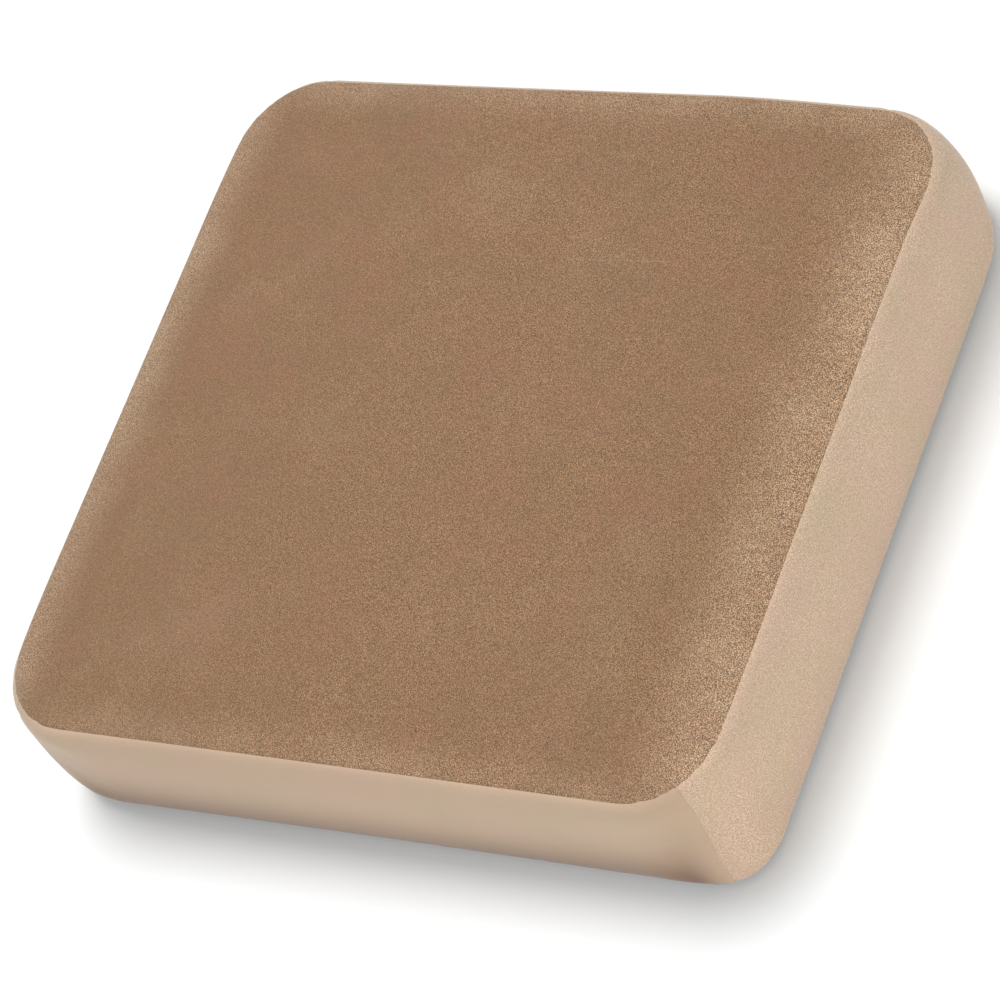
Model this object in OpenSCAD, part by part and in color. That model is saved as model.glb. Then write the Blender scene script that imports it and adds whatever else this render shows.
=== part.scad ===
// Foam kneeling pad in a zipped velvet cover.
// +X is the pad's right, -Y its front and +Z up. The origin is the middle of its underside.

/* [Pad] */
// Width of the covered pad, left to right
pad_w = 430; // [340:1:560]
// Depth of the covered pad, front to back
pad_d = 400; // [300:1:520]
// Height of the covered pad
pad_h = 88; // [70:1:120]
// Radius of the four upright corners, seen from above
corner_r = 45; // [30:1:60]
// Radius that the upper and lower edges are rounded to
edge_r = 14; // [8:0.5:18]

/* [Cover] */
// Thickness of the velvet and of the underside cloth, pile included
cover_t = 1.5; // [1:0.1:2.5]
// Width of the channel that a sewn seam leaves between two panels
seam_w = 0.6; // [0.4:0.1:1]
// How far the seam thread lies below the surface
seam_sink = 0.4; // [0.2:0.1:0.6]
// How far round the rounded edges the upper and lower seams run, from the top and the underside
seam_angle = 45; // [30:1:60]

/* [Liner] */
// Thickness of the knitted inner liner
liner_t = 0.5; // [0.4:0.1:0.8]
// Slack between the cover and the liner
liner_gap = 0.3; // [0.2:0.05:0.5]
// Height of the liner's sewn joint above the lower rounded edge
liner_seam_rise = 6; // [1:0.5:7]

/* [Foam] */
// Thickness of the slow foam that the knees sink into
memory_foam_t = 38; // [20:1:40]
// Slack between the liner and the foam
foam_gap = 0.2; // [0.1:0.05:0.4]

/* [Zip] */
// Clearance between the slider and each side of the slot that the zip shows through
slot_gap = 0.8; // [0.5:0.1:2]
// Length of the velvet tab that closes each end of the slot
end_tab_len = 10; // [6:0.5:14]
// Thickness of the woven zip tape
tape_t = 0.6; // [0.4:0.1:0.8]
// Width of each zip tape
tape_w = 14; // [10:0.5:16]
// How far the tapes stop short of the strips' end seams
tape_short = 2; // [1:0.5:5]
// Thickness of the nylon coils, standing out of the tapes
coil_t = 2; // [1.6:0.1:2.4]
// Width of both closed coils together
chain_w = 6.2; // [5.6:0.1:6.6]
// Distance from one coil loop to the next
coil_pitch = 2; // [1.6:0.1:2.6]
// Width of a coil loop
loop_w = 1.1; // [0.8:0.1:1.2]
// Width of the slit between the coils, which the slider's post runs in
slit_w = 1.4; // [1.2:0.1:1.8]
// Length of each end stop
stop_len = 2; // [1.5:0.1:3]
// How much wider the end stops are than the slider's tail, on each side
stop_lip = 0.3; // [0.2:0.1:0.5]

/* [Slider] */
// Length of the slider
slider_len = 12; // [10:0.5:14]
// Thickness of the slider's flanges at its shoulders
flange_t = 1.2; // [0.8:0.1:1.6]
// Thickness of its flanges at the tail
tail_flange_t = 0.4; // [0.3:0.1:0.8]
// Thickness of the slider's two plates
plate_t = 1; // [0.8:0.1:1.2]
// Thickness of the post that joins the plates
post_t = 0.9; // [0.7:0.1:1]
// Length of that post
post_len = 3.4; // [2.5:0.1:4]
// Running clearance round the slider
slider_gap = 0.2; // [0.15:0.05:0.3]
// Length of the bow that the pull hangs on
bow_len = 7.6; // [6:0.1:9]
// Width and thickness of that bow
bow_w = 2; // [1.6:0.1:2.4]
bow_t = 0.9; // [0.7:0.1:1.2]
// Radius of the pull's hinge pin
pull_pin_r = 0.65; // [0.5:0.05:0.8]
// Clearance round the hinge pin
pull_gap = 0.3; // [0.2:0.05:0.4]
// Length of the pull from its hinge pin to its tip
pull_len = 27; // [20:0.5:34]
// Width of the pull's tab
pull_w = 7; // [5.5:0.1:8]

/* [Hidden] */
$fn = 96;
eps = 0.01;

velvet = [0.66, 0.52, 0.40];
band_velvet = [0.78, 0.68, 0.57];
under_cloth = [0.30, 0.26, 0.22];
thread_tan = [0.60, 0.48, 0.37];
knit_white = [0.93, 0.93, 0.91];
slow_foam = [0.96, 0.93, 0.80];
firm_foam = [0.72, 0.80, 0.86];
tape_tan = [0.58, 0.46, 0.36];
nylon_tan = [0.50, 0.39, 0.30];
bronze = [0.55, 0.44, 0.30];

// The surfaces, from the outside in, as distances inside the pad's outer surface
liner_out = cover_t + liner_gap;
liner_in = liner_out + liner_t;
foam_out = liner_in + foam_gap;

// Heights of the upper and lower seams, where they meet the rounded edges
top_seam_z = pad_h - edge_r * (1 - cos(seam_angle));
bottom_seam_z = edge_r * (1 - cos(seam_angle));
half_seam_w = seam_w / 2;
foam_split_z = pad_h - foam_out - memory_foam_t;
liner_seam_z = edge_r + liner_seam_rise;

// Straight stretches between the corners
straight_x = pad_w - 2 * corner_r;
straight_y = pad_d - 2 * corner_r;

// The zip runs along the middle of the back. Depths here are places on Y, and heights are from the
// middle of the zip.
zip_z = pad_h / 2;
channel_w = chain_w + 2 * slider_gap;
slider_w = channel_w + 2 * flange_t;
tail_w = channel_w + 2 * tail_flange_t;
stop_w = tail_w + 2 * stop_lip;
zip_slot_h = slider_w + 2 * slot_gap;
back_y = pad_d / 2;
band_in_y = back_y - cover_t;
tape_in_y = band_in_y - tape_t;
coil_out_y = band_in_y + coil_t;
slot_half_len = straight_x / 2 - seam_w;
open_half_len = slot_half_len - end_tab_len;
stop_gap = 0.3;
coil_half_len = open_half_len - stop_len - 2 * stop_gap;
tape_half_len = slot_half_len - tape_short;

// The slider's plates, and the hollow that it presses into the liner and foam as it passes
top_plate_y = coil_out_y + slider_gap;
top_plate_out_y = top_plate_y + plate_t;
bottom_plate_out_y = tape_in_y - slider_gap;
bottom_plate_y = bottom_plate_out_y - plate_t;
dent_y = bottom_plate_y - liner_gap;
dent_h = 2 * (tape_w + slit_w);
dent_len = 2 * tape_half_len + 2;
slider_x = coil_half_len - slider_len / 2;

// The pull's hinge pin, and the bow over it
pin_y = top_plate_out_y + pull_gap + pull_pin_r;
bow_in_y = pin_y + pull_pin_r + pull_gap;
window_len = bow_len / 2 + 1.4;
arm_w = 1.5;
window_w = bow_w + 2 * pull_gap;

// ---- Sweeps round the pad ----

// Section of the solid pad, a distance in from its surface: X is measured outwards from the centre
// line of a corner, and Y is the height.
module pad_section(inset) {
    e = edge_r - inset;
    x = corner_r - edge_r;
    translate([0, inset]) square([x, pad_h - 2 * inset]);
    translate([0, edge_r]) square([x + e, pad_h - 2 * edge_r]);
    for (z = [edge_r, pad_h - edge_r])
        translate([x, z]) circle(e);
}

// Part of that section, between two heights
module section_slice(inset, z0, z1) {
    intersection() {
        pad_section(inset);
        translate([0, z0]) square([corner_r, z1 - z0]);
    }
}

// Section of a skin between two insets and two heights
module skin_section(out, in, z0, z1) {
    difference() {
        section_slice(out, z0, z1);
        pad_section(in);
    }
}

// Sweeps a section round part of a corner. Corner 0 is front right, and they run anticlockwise.
module round_corner(corner, from, to) {
    side_x = corner == 0 || corner == 1 ? 1 : -1;
    side_y = corner == 1 || corner == 2 ? 1 : -1;
    translate([side_x * straight_x / 2, side_y * straight_y / 2, 0])
        rotate([0, 0, from])
            rotate_extrude(angle = to - from)
                children();
}

// Sweeps a section along a side. Side 0 is the right, and they run anticlockwise.
module along_side(side) {
    on_x = side % 2 == 0;
    reach = (on_x ? straight_x : straight_y) / 2;
    len = on_x ? straight_y : straight_x;
    rotate([0, 0, 90 * side])
        translate([reach, len / 2, 0])
            rotate([90, 0, 0])
                linear_extrude(len)
                    children();
}

// Sweeps a section round the whole pad
module all_round() {
    for (i = [0:3]) {
        round_corner(i, 90 * i - 90, 90 * i) children();
        along_side(i) children();
    }
}

// The middle of the pad, inside the corners' centre lines
module middle(z0, z1) {
    translate([-straight_x / 2, -straight_y / 2, z0])
        cube([straight_x, straight_y, z1 - z0]);
}

// The solid pad a distance in from its surface, between two heights
module pad_block(inset, z0, z1) {
    low = max(z0, inset);
    high = min(z1, pad_h - inset);
    all_round() section_slice(inset, low, high);
    middle(low, high);
}

// ---- The foam ----

// The hollow along the zip, grown by a wall
module zip_dent(wall) {
    translate([-dent_len / 2 - wall, dent_y - wall, zip_z - dent_h / 2 - wall])
        cube([dent_len + 2 * wall, cover_t + back_y - dent_y + wall, dent_h + 2 * wall]);
}

module foam(z0, z1) {
    difference() {
        pad_block(foam_out, z0, z1);
        zip_dent(liner_t + foam_gap);
    }
}

module memory_foam_layer() {
    color(slow_foam) foam(foam_split_z, pad_h);
}

module support_foam_layer() {
    color(firm_foam) foam(0, foam_split_z);
}

// ---- The liner ----

module liner(z0, z1) {
    difference() {
        pad_block(liner_out, z0, z1);
        difference() {
            pad_block(liner_in, 0, pad_h);
            zip_dent(liner_t);
        }
        zip_dent(0);
    }
}

module liner_upper() {
    color(knit_white) liner(liner_seam_z + half_seam_w, pad_h);
}

module liner_base() {
    color(knit_white) liner(0, liner_seam_z - half_seam_w);
}

module liner_seam_thread() {
    color(knit_white)
        all_round() skin_section(liner_out, liner_in, liner_seam_z - half_seam_w, liner_seam_z + half_seam_w);
}

// ---- The cover ----

module top_panel() {
    color(velvet) {
        all_round() skin_section(0, cover_t, top_seam_z + half_seam_w, pad_h);
        middle(pad_h - cover_t, pad_h);
    }
}

module bottom_panel() {
    color(under_cloth) {
        all_round() skin_section(0, cover_t, 0, bottom_seam_z - half_seam_w);
        middle(0, cover_t);
    }
}

module band_section() {
    skin_section(0, cover_t, bottom_seam_z + half_seam_w, top_seam_z - half_seam_w);
}

// Half the angle that the front corners' seams take up
half_seam_angle = seam_w / corner_r * 90 / PI;

module front_band() {
    color(band_velvet) {
        along_side(3) band_section();
        for (side = [0, 1])
            mirror([side, 0, 0])
                round_corner(0, -90, -45 - half_seam_angle) band_section();
    }
}

// The right band runs from the front corner's seam round the back corner to the zip
module right_band() {
    color(band_velvet) {
        along_side(0) band_section();
        round_corner(1, 0, 90) band_section();
        mirror([0, 1, 0])
            round_corner(1, 0, 45 - half_seam_angle) band_section();
    }
}

module left_band() {
    mirror([1, 0, 0]) right_band();
}

// The back band is cut in two by the zip's slot. This is its part between two heights.
module zip_strip(z0, z1) {
    translate([slot_half_len, straight_y / 2, 0])
        rotate([90, 0, -90])
            linear_extrude(2 * slot_half_len)
                mirror([1, 0])
                    skin_section(0, cover_t, z0, z1);
}

module zip_strip_upper() {
    color(band_velvet) zip_strip(zip_z + zip_slot_h / 2, top_seam_z - half_seam_w);
}

module zip_strip_lower() {
    color(band_velvet) zip_strip(bottom_seam_z + half_seam_w, zip_z - zip_slot_h / 2);
}

// ---- The sewing ----

module top_seam_thread() {
    color(thread_tan)
        all_round() skin_section(seam_sink, cover_t, top_seam_z - half_seam_w, top_seam_z + half_seam_w);
}

module bottom_seam_thread() {
    color(thread_tan)
        all_round() skin_section(seam_sink, cover_t, bottom_seam_z - half_seam_w, bottom_seam_z + half_seam_w);
}

// Section of an upright seam's thread, which stops at the upper and lower seams
module upright_thread_section() {
    skin_section(seam_sink, cover_t, bottom_seam_z + half_seam_w, top_seam_z - half_seam_w);
}

module front_corner_seam_threads() {
    color(thread_tan) {
        round_corner(0, -45 - half_seam_angle, -45 + half_seam_angle) upright_thread_section();
        round_corner(3, -135 - half_seam_angle, -135 + half_seam_angle) upright_thread_section();
    }
}

module zip_strip_seam_threads() {
    color(thread_tan)
        for (side = [0, 1])
            mirror([side, 0, 0])
                translate([straight_x / 2, straight_y / 2, 0])
                    rotate([90, 0, -90])
                        linear_extrude(seam_w)
                            mirror([1, 0])
                                upright_thread_section();
}

// A row of topstitching that holds a folded strip edge to the zip tape behind it
stitch_in = 2;
stitch_w = 0.5;
stitch_t = 0.3;

module zip_topstitch(z) {
    translate([-slot_half_len + stitch_in, back_y, z - stitch_w / 2])
        cube([2 * (slot_half_len - stitch_in), stitch_t, stitch_w]);
}

module zip_topstitch_upper() {
    color(thread_tan) zip_topstitch(zip_z + zip_slot_h / 2 + stitch_in);
}

module zip_topstitch_lower() {
    color(thread_tan) zip_topstitch(zip_z - zip_slot_h / 2 - stitch_in);
}

// ---- The zip ----

module zip_end_tab(side) {
    x = side > 0 ? open_half_len : -slot_half_len;
    color(band_velvet)
        translate([x, band_in_y, zip_z - zip_slot_h / 2])
            cube([end_tab_len, cover_t, zip_slot_h]);
}

module zip_end_tab_left() {
    zip_end_tab(-1);
}

module zip_end_tab_right() {
    zip_end_tab(1);
}

// Draws the upper half of the zip from the lower half's module, or the lower as it is
module zip_half(side) {
    translate([0, 0, zip_z])
        mirror([0, 0, side > 0 ? 0 : 1])
            children();
}

module zip_tape() {
    color(tape_tan)
        translate([-tape_half_len, tape_in_y, slit_w / 2])
            cube([2 * tape_half_len, tape_t, tape_w]);
}

module zip_tape_upper() {
    zip_half(1) zip_tape();
}

module zip_tape_lower() {
    zip_half(-1) zip_tape();
}

// A coil as a comb: loops that reach to the slit, on the strand that is sewn to the tape
coil_spine_h = 1;
module zip_coil(start) {
    root = chain_w / 2 - coil_spine_h;
    loops = floor((2 * coil_half_len - start - loop_w) / coil_pitch);
    teeth = [
        for (i = [0:loops])
            let (x = -coil_half_len + start + i * coil_pitch)
                each [[x, root], [x, slit_w / 2], [x + loop_w, slit_w / 2], [x + loop_w, root]]
    ];
    outline = concat(
        [[-coil_half_len, chain_w / 2], [-coil_half_len, root]],
        teeth,
        [[coil_half_len, root], [coil_half_len, chain_w / 2]]
    );
    color(nylon_tan)
        translate([0, coil_out_y, 0])
            rotate([90, 0, 0])
                linear_extrude(coil_t)
                    polygon(outline);
}

first_loop = 0.2;
module zip_coil_upper() {
    zip_half(1) zip_coil(first_loop);
}

module zip_coil_lower() {
    zip_half(-1) zip_coil(first_loop + coil_pitch / 2);
}

// A stop just past the end of the coils, between two heights from the middle of the zip
module zip_stop(side, z0, z1) {
    x = side > 0 ? coil_half_len + stop_gap : -coil_half_len - stop_gap - stop_len;
    color(bronze)
        translate([x, band_in_y, z0])
            cube([stop_len, coil_t, z1 - z0]);
}

module zip_top_stops() {
    for (half = [-1, 1])
        zip_half(half) zip_stop(1, slit_w / 2, stop_w / 2);
}

module zip_bottom_stop() {
    zip_half(1) zip_stop(-1, -stop_w / 2, stop_w / 2);
}

// ---- The slider ----

// Outline of the slider's plates, wide at the end that leads when the zip is closed
module slider_outline() {
    l = slider_len / 2;
    polygon([
        [-l, -tail_w / 2], [0, -tail_w / 2], [l - 3, -slider_w / 2], [l - 1, -slider_w / 2],
        [l, -slider_w / 2 + 1], [l, slider_w / 2 - 1], [l - 1, slider_w / 2], [l - 3, slider_w / 2],
        [0, tail_w / 2], [-l, tail_w / 2]
    ]);
}

// A plate of that outline between two depths
module slider_slab(y0, y1) {
    translate([0, y1, 0])
        rotate([90, 0, 0])
            linear_extrude(y1 - y0)
                children();
}

module zip_slider() {
    l = slider_len / 2;
    flange_y = band_in_y + slider_gap;
    color(bronze)
        translate([slider_x, 0, zip_z]) {
            slider_slab(top_plate_y, top_plate_out_y) slider_outline();
            slider_slab(bottom_plate_y, bottom_plate_out_y) slider_outline();
            translate([l - post_len, bottom_plate_y, -post_t / 2])
                cube([post_len, top_plate_out_y - bottom_plate_y, post_t]);
            slider_slab(flange_y, top_plate_y)
                difference() {
                    slider_outline();
                    square([3 * l, channel_w], center = true);
                }
            slider_bow();
        }
}

// The bow over the pull's hinge pin
module slider_bow() {
    leg = 1.2;
    for (x = [-bow_len / 2, bow_len / 2 - leg])
        translate([x, top_plate_y, -bow_w / 2])
            cube([leg, bow_in_y + bow_t - top_plate_y, bow_w]);
    translate([-bow_len / 2, bow_in_y, -bow_w / 2])
        cube([bow_len, bow_t, bow_w]);
}

// The pull lies back along the zip, with a window that the bow passes through
module zip_pull() {
    tab_in = window_len;
    color(bronze)
        translate([slider_x, pin_y, zip_z]) {
            cylinder(h = window_w + 2 * arm_w, r = pull_pin_r, center = true);
            for (side = [-1, 1])
                translate([-tab_in - 1, -pull_pin_r, side > 0 ? window_w / 2 : -window_w / 2 - arm_w])
                    cube([tab_in + 1, 2 * pull_pin_r, arm_w]);
            translate([0, pull_pin_r, 0])
                rotate([90, 0, 0])
                    linear_extrude(2 * pull_pin_r)
                        pull_outline(tab_in);
        }
}

// Outline of the pull's tab, from its neck to its round tip
module pull_outline(neck) {
    tip_x = -pull_len + pull_w / 2;
    translate([tip_x, 0]) circle(pull_w / 2);
    polygon([
        [tip_x, -pull_w / 2], [tip_x, pull_w / 2],
        [-neck - 4, pull_w / 2 - 0.4], [-neck, window_w / 2 + arm_w],
        [-neck, -window_w / 2 - arm_w], [-neck - 4, -pull_w / 2 + 0.4]
    ]);
}

memory_foam_layer();
support_foam_layer();
liner_upper();
liner_base();
liner_seam_thread();
top_panel();
front_band();
right_band();
left_band();
zip_strip_upper();
zip_strip_lower();
bottom_panel();
top_seam_thread();
bottom_seam_thread();
front_corner_seam_threads();
zip_strip_seam_threads();
zip_topstitch_upper();
zip_topstitch_lower();
zip_end_tab_left();
zip_end_tab_right();
zip_tape_upper();
zip_tape_lower();
zip_coil_upper();
zip_coil_lower();
zip_top_stops();
zip_bottom_stop();
zip_slider();
zip_pull();
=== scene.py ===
# %% [markdown]
# # A foam kneeling pad in a velvet cover
# The pad is a thick block of foam in a sewn cover: a velvet top, velvet bands round the sides, a zip
# along the back and an anti-slip cloth underneath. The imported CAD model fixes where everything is. This
# lesson makes the soft surfaces, the sewing, the zip and the finishes that the eye sees.

# %% Load the CAD model
import math
import bpy
import numpy as np
from mathutils import Matrix, Vector
from mathutils.kdtree import KDTree


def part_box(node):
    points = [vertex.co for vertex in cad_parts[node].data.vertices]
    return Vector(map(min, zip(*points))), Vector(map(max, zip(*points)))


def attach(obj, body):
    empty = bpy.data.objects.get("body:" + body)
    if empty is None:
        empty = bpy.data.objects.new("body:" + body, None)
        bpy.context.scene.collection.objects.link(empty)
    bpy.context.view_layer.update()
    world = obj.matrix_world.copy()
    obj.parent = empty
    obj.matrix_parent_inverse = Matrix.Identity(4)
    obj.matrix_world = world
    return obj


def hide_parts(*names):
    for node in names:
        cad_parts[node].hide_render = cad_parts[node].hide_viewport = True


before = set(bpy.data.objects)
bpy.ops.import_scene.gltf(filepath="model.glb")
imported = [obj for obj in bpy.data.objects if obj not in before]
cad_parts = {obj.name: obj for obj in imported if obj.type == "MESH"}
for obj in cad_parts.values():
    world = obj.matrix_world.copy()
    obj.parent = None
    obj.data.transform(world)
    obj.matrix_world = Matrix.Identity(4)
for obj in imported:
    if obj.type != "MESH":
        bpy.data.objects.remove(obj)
bpy.context.view_layer.update()


def in_mm(values):
    """Metres as rounded millimetres, to print."""
    return [round(float(v) * 1000, 2) for v in values]


# %% [markdown]
# ## Sizes
# Every place comes from the CAD nodes' boxes, so that the soft pieces meet the hard ones. The pad's
# plan is a rectangle with round corners, and its upper and lower edges are rounded to a smaller radius.

# %% Read the sizes that the other steps use
MM = 0.001
TINY = 0.001 * MM
liner_low, liner_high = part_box("liner_upper")
LINER_INSET = 1.8 * MM
HALF_W = liner_high.x + LINER_INSET
HALF_D = -liner_low.y + LINER_INSET
PAD_H = liner_high.z + LINER_INSET
CORNER_R = HALF_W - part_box("zip_strip_seam_threads")[1].x
TOP_SEAM = (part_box("top_seam_thread")[0].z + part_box("top_seam_thread")[1].z) / 2
BOTTOM_SEAM = (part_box("bottom_seam_thread")[0].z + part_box("bottom_seam_thread")[1].z) / 2
EDGE_R = (PAD_H - TOP_SEAM) / (1 - math.cos(math.radians(45)))
STRIP_END = (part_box("zip_strip_upper")[1].x + HALF_W - CORNER_R) / 2
SLOT_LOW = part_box("zip_strip_lower")[1].z
SLOT_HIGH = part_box("zip_strip_upper")[0].z
ZIP_Z = (SLOT_LOW + SLOT_HIGH) / 2
CORNER_X, CORNER_Y = HALF_W - CORNER_R, HALF_D - CORNER_R
FOAM_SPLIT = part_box("memory_foam_layer")[0].z
LINER_SEAM = (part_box("liner_seam_thread")[0].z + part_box("liner_seam_thread")[1].z) / 2
print("half width, half depth, height, corner, edge:", in_mm((HALF_W, HALF_D, PAD_H, CORNER_R, EDGE_R)))
print("seams:", in_mm((TOP_SEAM, BOTTOM_SEAM)), "slot:", in_mm((SLOT_LOW, SLOT_HIGH)))

# %% [markdown]
# ## Helpers
# The operators work on whatever is selected, so each helper deselects everything first. Faces and edges
# are picked in code by their place, and numpy reads and writes a mesh's points in one go.

# %% Helpers for selecting, applying and copying
def clear_selection():
    if bpy.context.object and bpy.context.object.mode != "OBJECT":
        bpy.ops.object.mode_set(mode="OBJECT")
    for other in bpy.context.selected_objects:
        other.select_set(False)


def make_active(obj):
    clear_selection()
    obj.select_set(True)
    bpy.context.view_layer.objects.active = obj
    return obj


def read(items, what, width=3, kind=float):
    """One measure of each item of a mesh, a row for each."""
    rows = np.empty(len(items) * width, kind)
    items.foreach_get(what, rows)
    return rows.reshape(-1, width)


def points_of(obj):
    return read(obj.data.vertices, "co")


def set_points(obj, co):
    obj.data.vertices.foreach_set("co", np.ascontiguousarray(co).ravel())
    obj.data.update()


def normals_of(obj):
    return read(obj.data.vertices, "normal")


def face_centres(obj):
    return read(obj.data.polygons, "center")


def pick_faces(obj, chosen):
    """Selects these faces, given as one true or false for each, and opens edit mode."""
    make_active(obj)
    obj.data.polygons.foreach_set("select", np.zeros(len(obj.data.polygons), bool))
    obj.data.edges.foreach_set("select", np.zeros(len(obj.data.edges), bool))
    obj.data.vertices.foreach_set("select", np.zeros(len(obj.data.vertices), bool))
    obj.data.polygons.foreach_set("select", np.asarray(chosen, bool))
    bpy.ops.object.mode_set(mode="EDIT")
    bpy.ops.mesh.select_mode(type="FACE")


def pick_edges(obj, chosen):
    """Selects these edges, given as one true or false for each, and opens edit mode."""
    make_active(obj)
    bpy.ops.object.mode_set(mode="EDIT")
    bpy.ops.mesh.select_mode(type="EDGE")
    bpy.ops.mesh.select_all(action="DESELECT")
    leave_edit()
    obj.data.edges.foreach_set("select", np.asarray(chosen, bool))
    bpy.ops.object.mode_set(mode="EDIT")


def leave_edit():
    bpy.ops.object.mode_set(mode="OBJECT")


def open_all(obj):
    """Opens edit mode with the whole mesh selected."""
    make_active(obj)
    bpy.ops.object.mode_set(mode="EDIT")
    bpy.ops.mesh.select_all(action="SELECT")


def close_outwards():
    """Turns every face of the open mesh outwards, and leaves edit mode."""
    bpy.ops.mesh.select_all(action="SELECT")
    bpy.ops.mesh.normals_make_consistent(inside=False)
    leave_edit()


def round_edges(obj, test, radius, segments):
    """Bevels the edges whose two ends, as a pair of places, pass a test."""
    places = [v.co.copy() for v in obj.data.vertices]
    pick_edges(obj, [test(places[e.vertices[0]], places[e.vertices[1]]) for e in obj.data.edges])
    bpy.ops.mesh.bevel(offset=radius, segments=segments, affect="EDGES")
    leave_edit()


def slice_at(obj, place, normal, **keep):
    """Cuts the whole mesh along a plane."""
    open_all(obj)
    bpy.ops.mesh.bisect(plane_co=place, plane_no=normal, **keep)
    leave_edit()


def draw_out(move):
    """Extrudes what is selected in edit mode by a step."""
    bpy.ops.mesh.extrude_region_move(TRANSFORM_OT_translate={"value": move})


def apply_all(obj):
    make_active(obj)
    for modifier in list(obj.modifiers):
        bpy.ops.object.modifier_apply(modifier=modifier.name)
    return obj


def copy_of(obj, name):
    new = obj.copy()
    new.data = obj.data.copy()
    new.name = new.data.name = name
    bpy.context.scene.collection.objects.link(new)
    return new


def add_object(name, data):
    obj = bpy.data.objects.new(name, data)
    bpy.context.scene.collection.objects.link(obj)
    return obj


def place_in_mesh():
    """Moves the place, turn and size of the primitive just added into its mesh."""
    bpy.ops.object.transform_apply(location=True, rotation=True, scale=True)
    return bpy.context.object


def add_block(name, low, high):
    """A box between two corners."""
    clear_selection()
    low, high = Vector(low), Vector(high)
    bpy.ops.mesh.primitive_cube_add(size=1, location=(low + high) / 2, scale=high - low)
    obj = place_in_mesh()
    obj.name = obj.data.name = name
    return obj


def smooth(obj, degrees=35):
    make_active(obj)
    bpy.ops.object.shade_smooth_by_angle(angle=math.radians(degrees))
    return obj


# %% [markdown]
# ## The camera
# The pad is seen from its front right, from well above, through a long lens, with the camera rolled so
# that the front corner on the right points down.

# %% Place the camera
VIEW_AZIMUTH, VIEW_ELEVATION, VIEW_ROLL = (math.radians(a) for a in (56.67, 46.99, -42.66))
VIEW_FROM = Vector((1.4645, -0.9796, 1.9098))
level_right = Vector((math.cos(VIEW_AZIMUTH), math.sin(VIEW_AZIMUTH), 0))
view_back = Vector((math.sin(VIEW_AZIMUTH) * math.cos(VIEW_ELEVATION),
                    -math.cos(VIEW_AZIMUTH) * math.cos(VIEW_ELEVATION), math.sin(VIEW_ELEVATION)))
level_up = view_back.cross(level_right)
view_right = level_right * math.cos(VIEW_ROLL) + level_up * math.sin(VIEW_ROLL)
view_up = view_back.cross(view_right)
turn = Matrix((view_right, view_up, view_back)).transposed().to_4x4()
camera = add_object("camera", bpy.data.cameras.new("camera"))
camera.data.sensor_width = 36
camera.data.lens = 184
camera.matrix_world = Matrix.Translation(VIEW_FROM) @ turn
bpy.context.scene.camera = camera
print("camera looks along", [round(v, 3) for v in -view_back])

# %% [markdown]
# ## The shape of the sewn cover
# Four sums say where a point of the cover lies: how far inside the plan's outline it is, how far it is
# from the upper and the lower seam along the surface, and how far from the upright seams. The seams, the
# panels, and the velvet's nap with its painted sheen and painted shade, all use them.

# %% Measure where a point is on the cover
SEAM_ANGLE = math.radians(45)


def inside_outline(co):
    """Distance from the plan's outline, inwards."""
    qx = np.abs(co[:, 0]) - CORNER_X
    qy = np.abs(co[:, 1]) - CORNER_Y
    outer = np.hypot(np.maximum(qx, 0), np.maximum(qy, 0))
    return CORNER_R - (outer + np.minimum(np.maximum(qx, qy), 0))


def past_edge_seam(co, upper):
    """Distance along the surface from the upper or lower seam, less than nothing on the bands."""
    inset = inside_outline(co)
    rise = co[:, 2] if upper else PAD_H - co[:, 2]
    angle = np.arctan2(np.maximum(rise - (PAD_H - EDGE_R), 0), np.maximum(EDGE_R - inset, 0) + 1e-9)
    on_curve = EDGE_R * (angle - SEAM_ANGLE)
    on_flat = np.maximum(inset - EDGE_R, 0) * (rise > PAD_H / 2)
    return on_curve + on_flat - np.maximum(PAD_H - EDGE_R - rise, 0)


def past_front_corner(co):
    """Distance from the plane of the nearer front corner's seam, less than nothing on the front."""
    return ((np.abs(co[:, 0]) - CORNER_X) + (co[:, 1] + CORNER_Y)) / math.sqrt(2)


def panel_of(co):
    """Names the panel that each point belongs to."""
    name = np.full(len(co), "left_band", object)
    name[co[:, 0] > 0] = "right_band"
    on_back = (co[:, 1] > 0) & (np.abs(co[:, 0]) < STRIP_END)
    name[on_back] = "slot"
    name[on_back & (co[:, 2] > SLOT_HIGH)] = "zip_strip_upper"
    name[on_back & (co[:, 2] < SLOT_LOW)] = "zip_strip_lower"
    name[past_front_corner(co) < 0] = "front_band"
    name[past_edge_seam(co, True) > 0] = "top_panel"
    name[past_edge_seam(co, False) > 0] = "bottom_panel"
    return name


def seam_distance(co):
    """Distance from the nearest seam."""
    top, bottom = past_edge_seam(co, True), past_edge_seam(co, False)
    corner = np.where(co[:, 1] < 0, np.abs(past_front_corner(co)), 1)
    strip = np.where(co[:, 1] > CORNER_Y, np.abs(np.abs(co[:, 0]) - STRIP_END), 1)
    on_band = (top < 0.001) & (bottom < 0.001)
    upright = np.where(on_band, np.minimum(corner, strip), 1)
    return np.minimum(np.minimum(np.abs(top), np.abs(bottom)), upright)


# %% [markdown]
# ## The padded form
# A cushion can be pushed into shape point by point, or blown up like a real one. Here a rounded block
# is remeshed into small even squares, cut along its seams, and filled by a cloth simulation with
# pressure inside. The seams are pinned, because stitching holds them, so each panel swells between
# them. Firm foam only lets the cover rise a little, so the rise is capped.

# %% Round a block to the pad's outline
form = add_block("pad_form", (-HALF_W, -HALF_D, 0), (HALF_W, HALF_D, PAD_H))
round_edges(form, lambda a, b: abs(a.z - b.z) > PAD_H / 2, CORNER_R, 16)
round_edges(form, lambda a, b: abs(a.z - b.z) < TINY and (a.z > PAD_H - TINY or a.z < TINY), EDGE_R, 8)
print("rounded block:", len(form.data.polygons), "faces")

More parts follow.
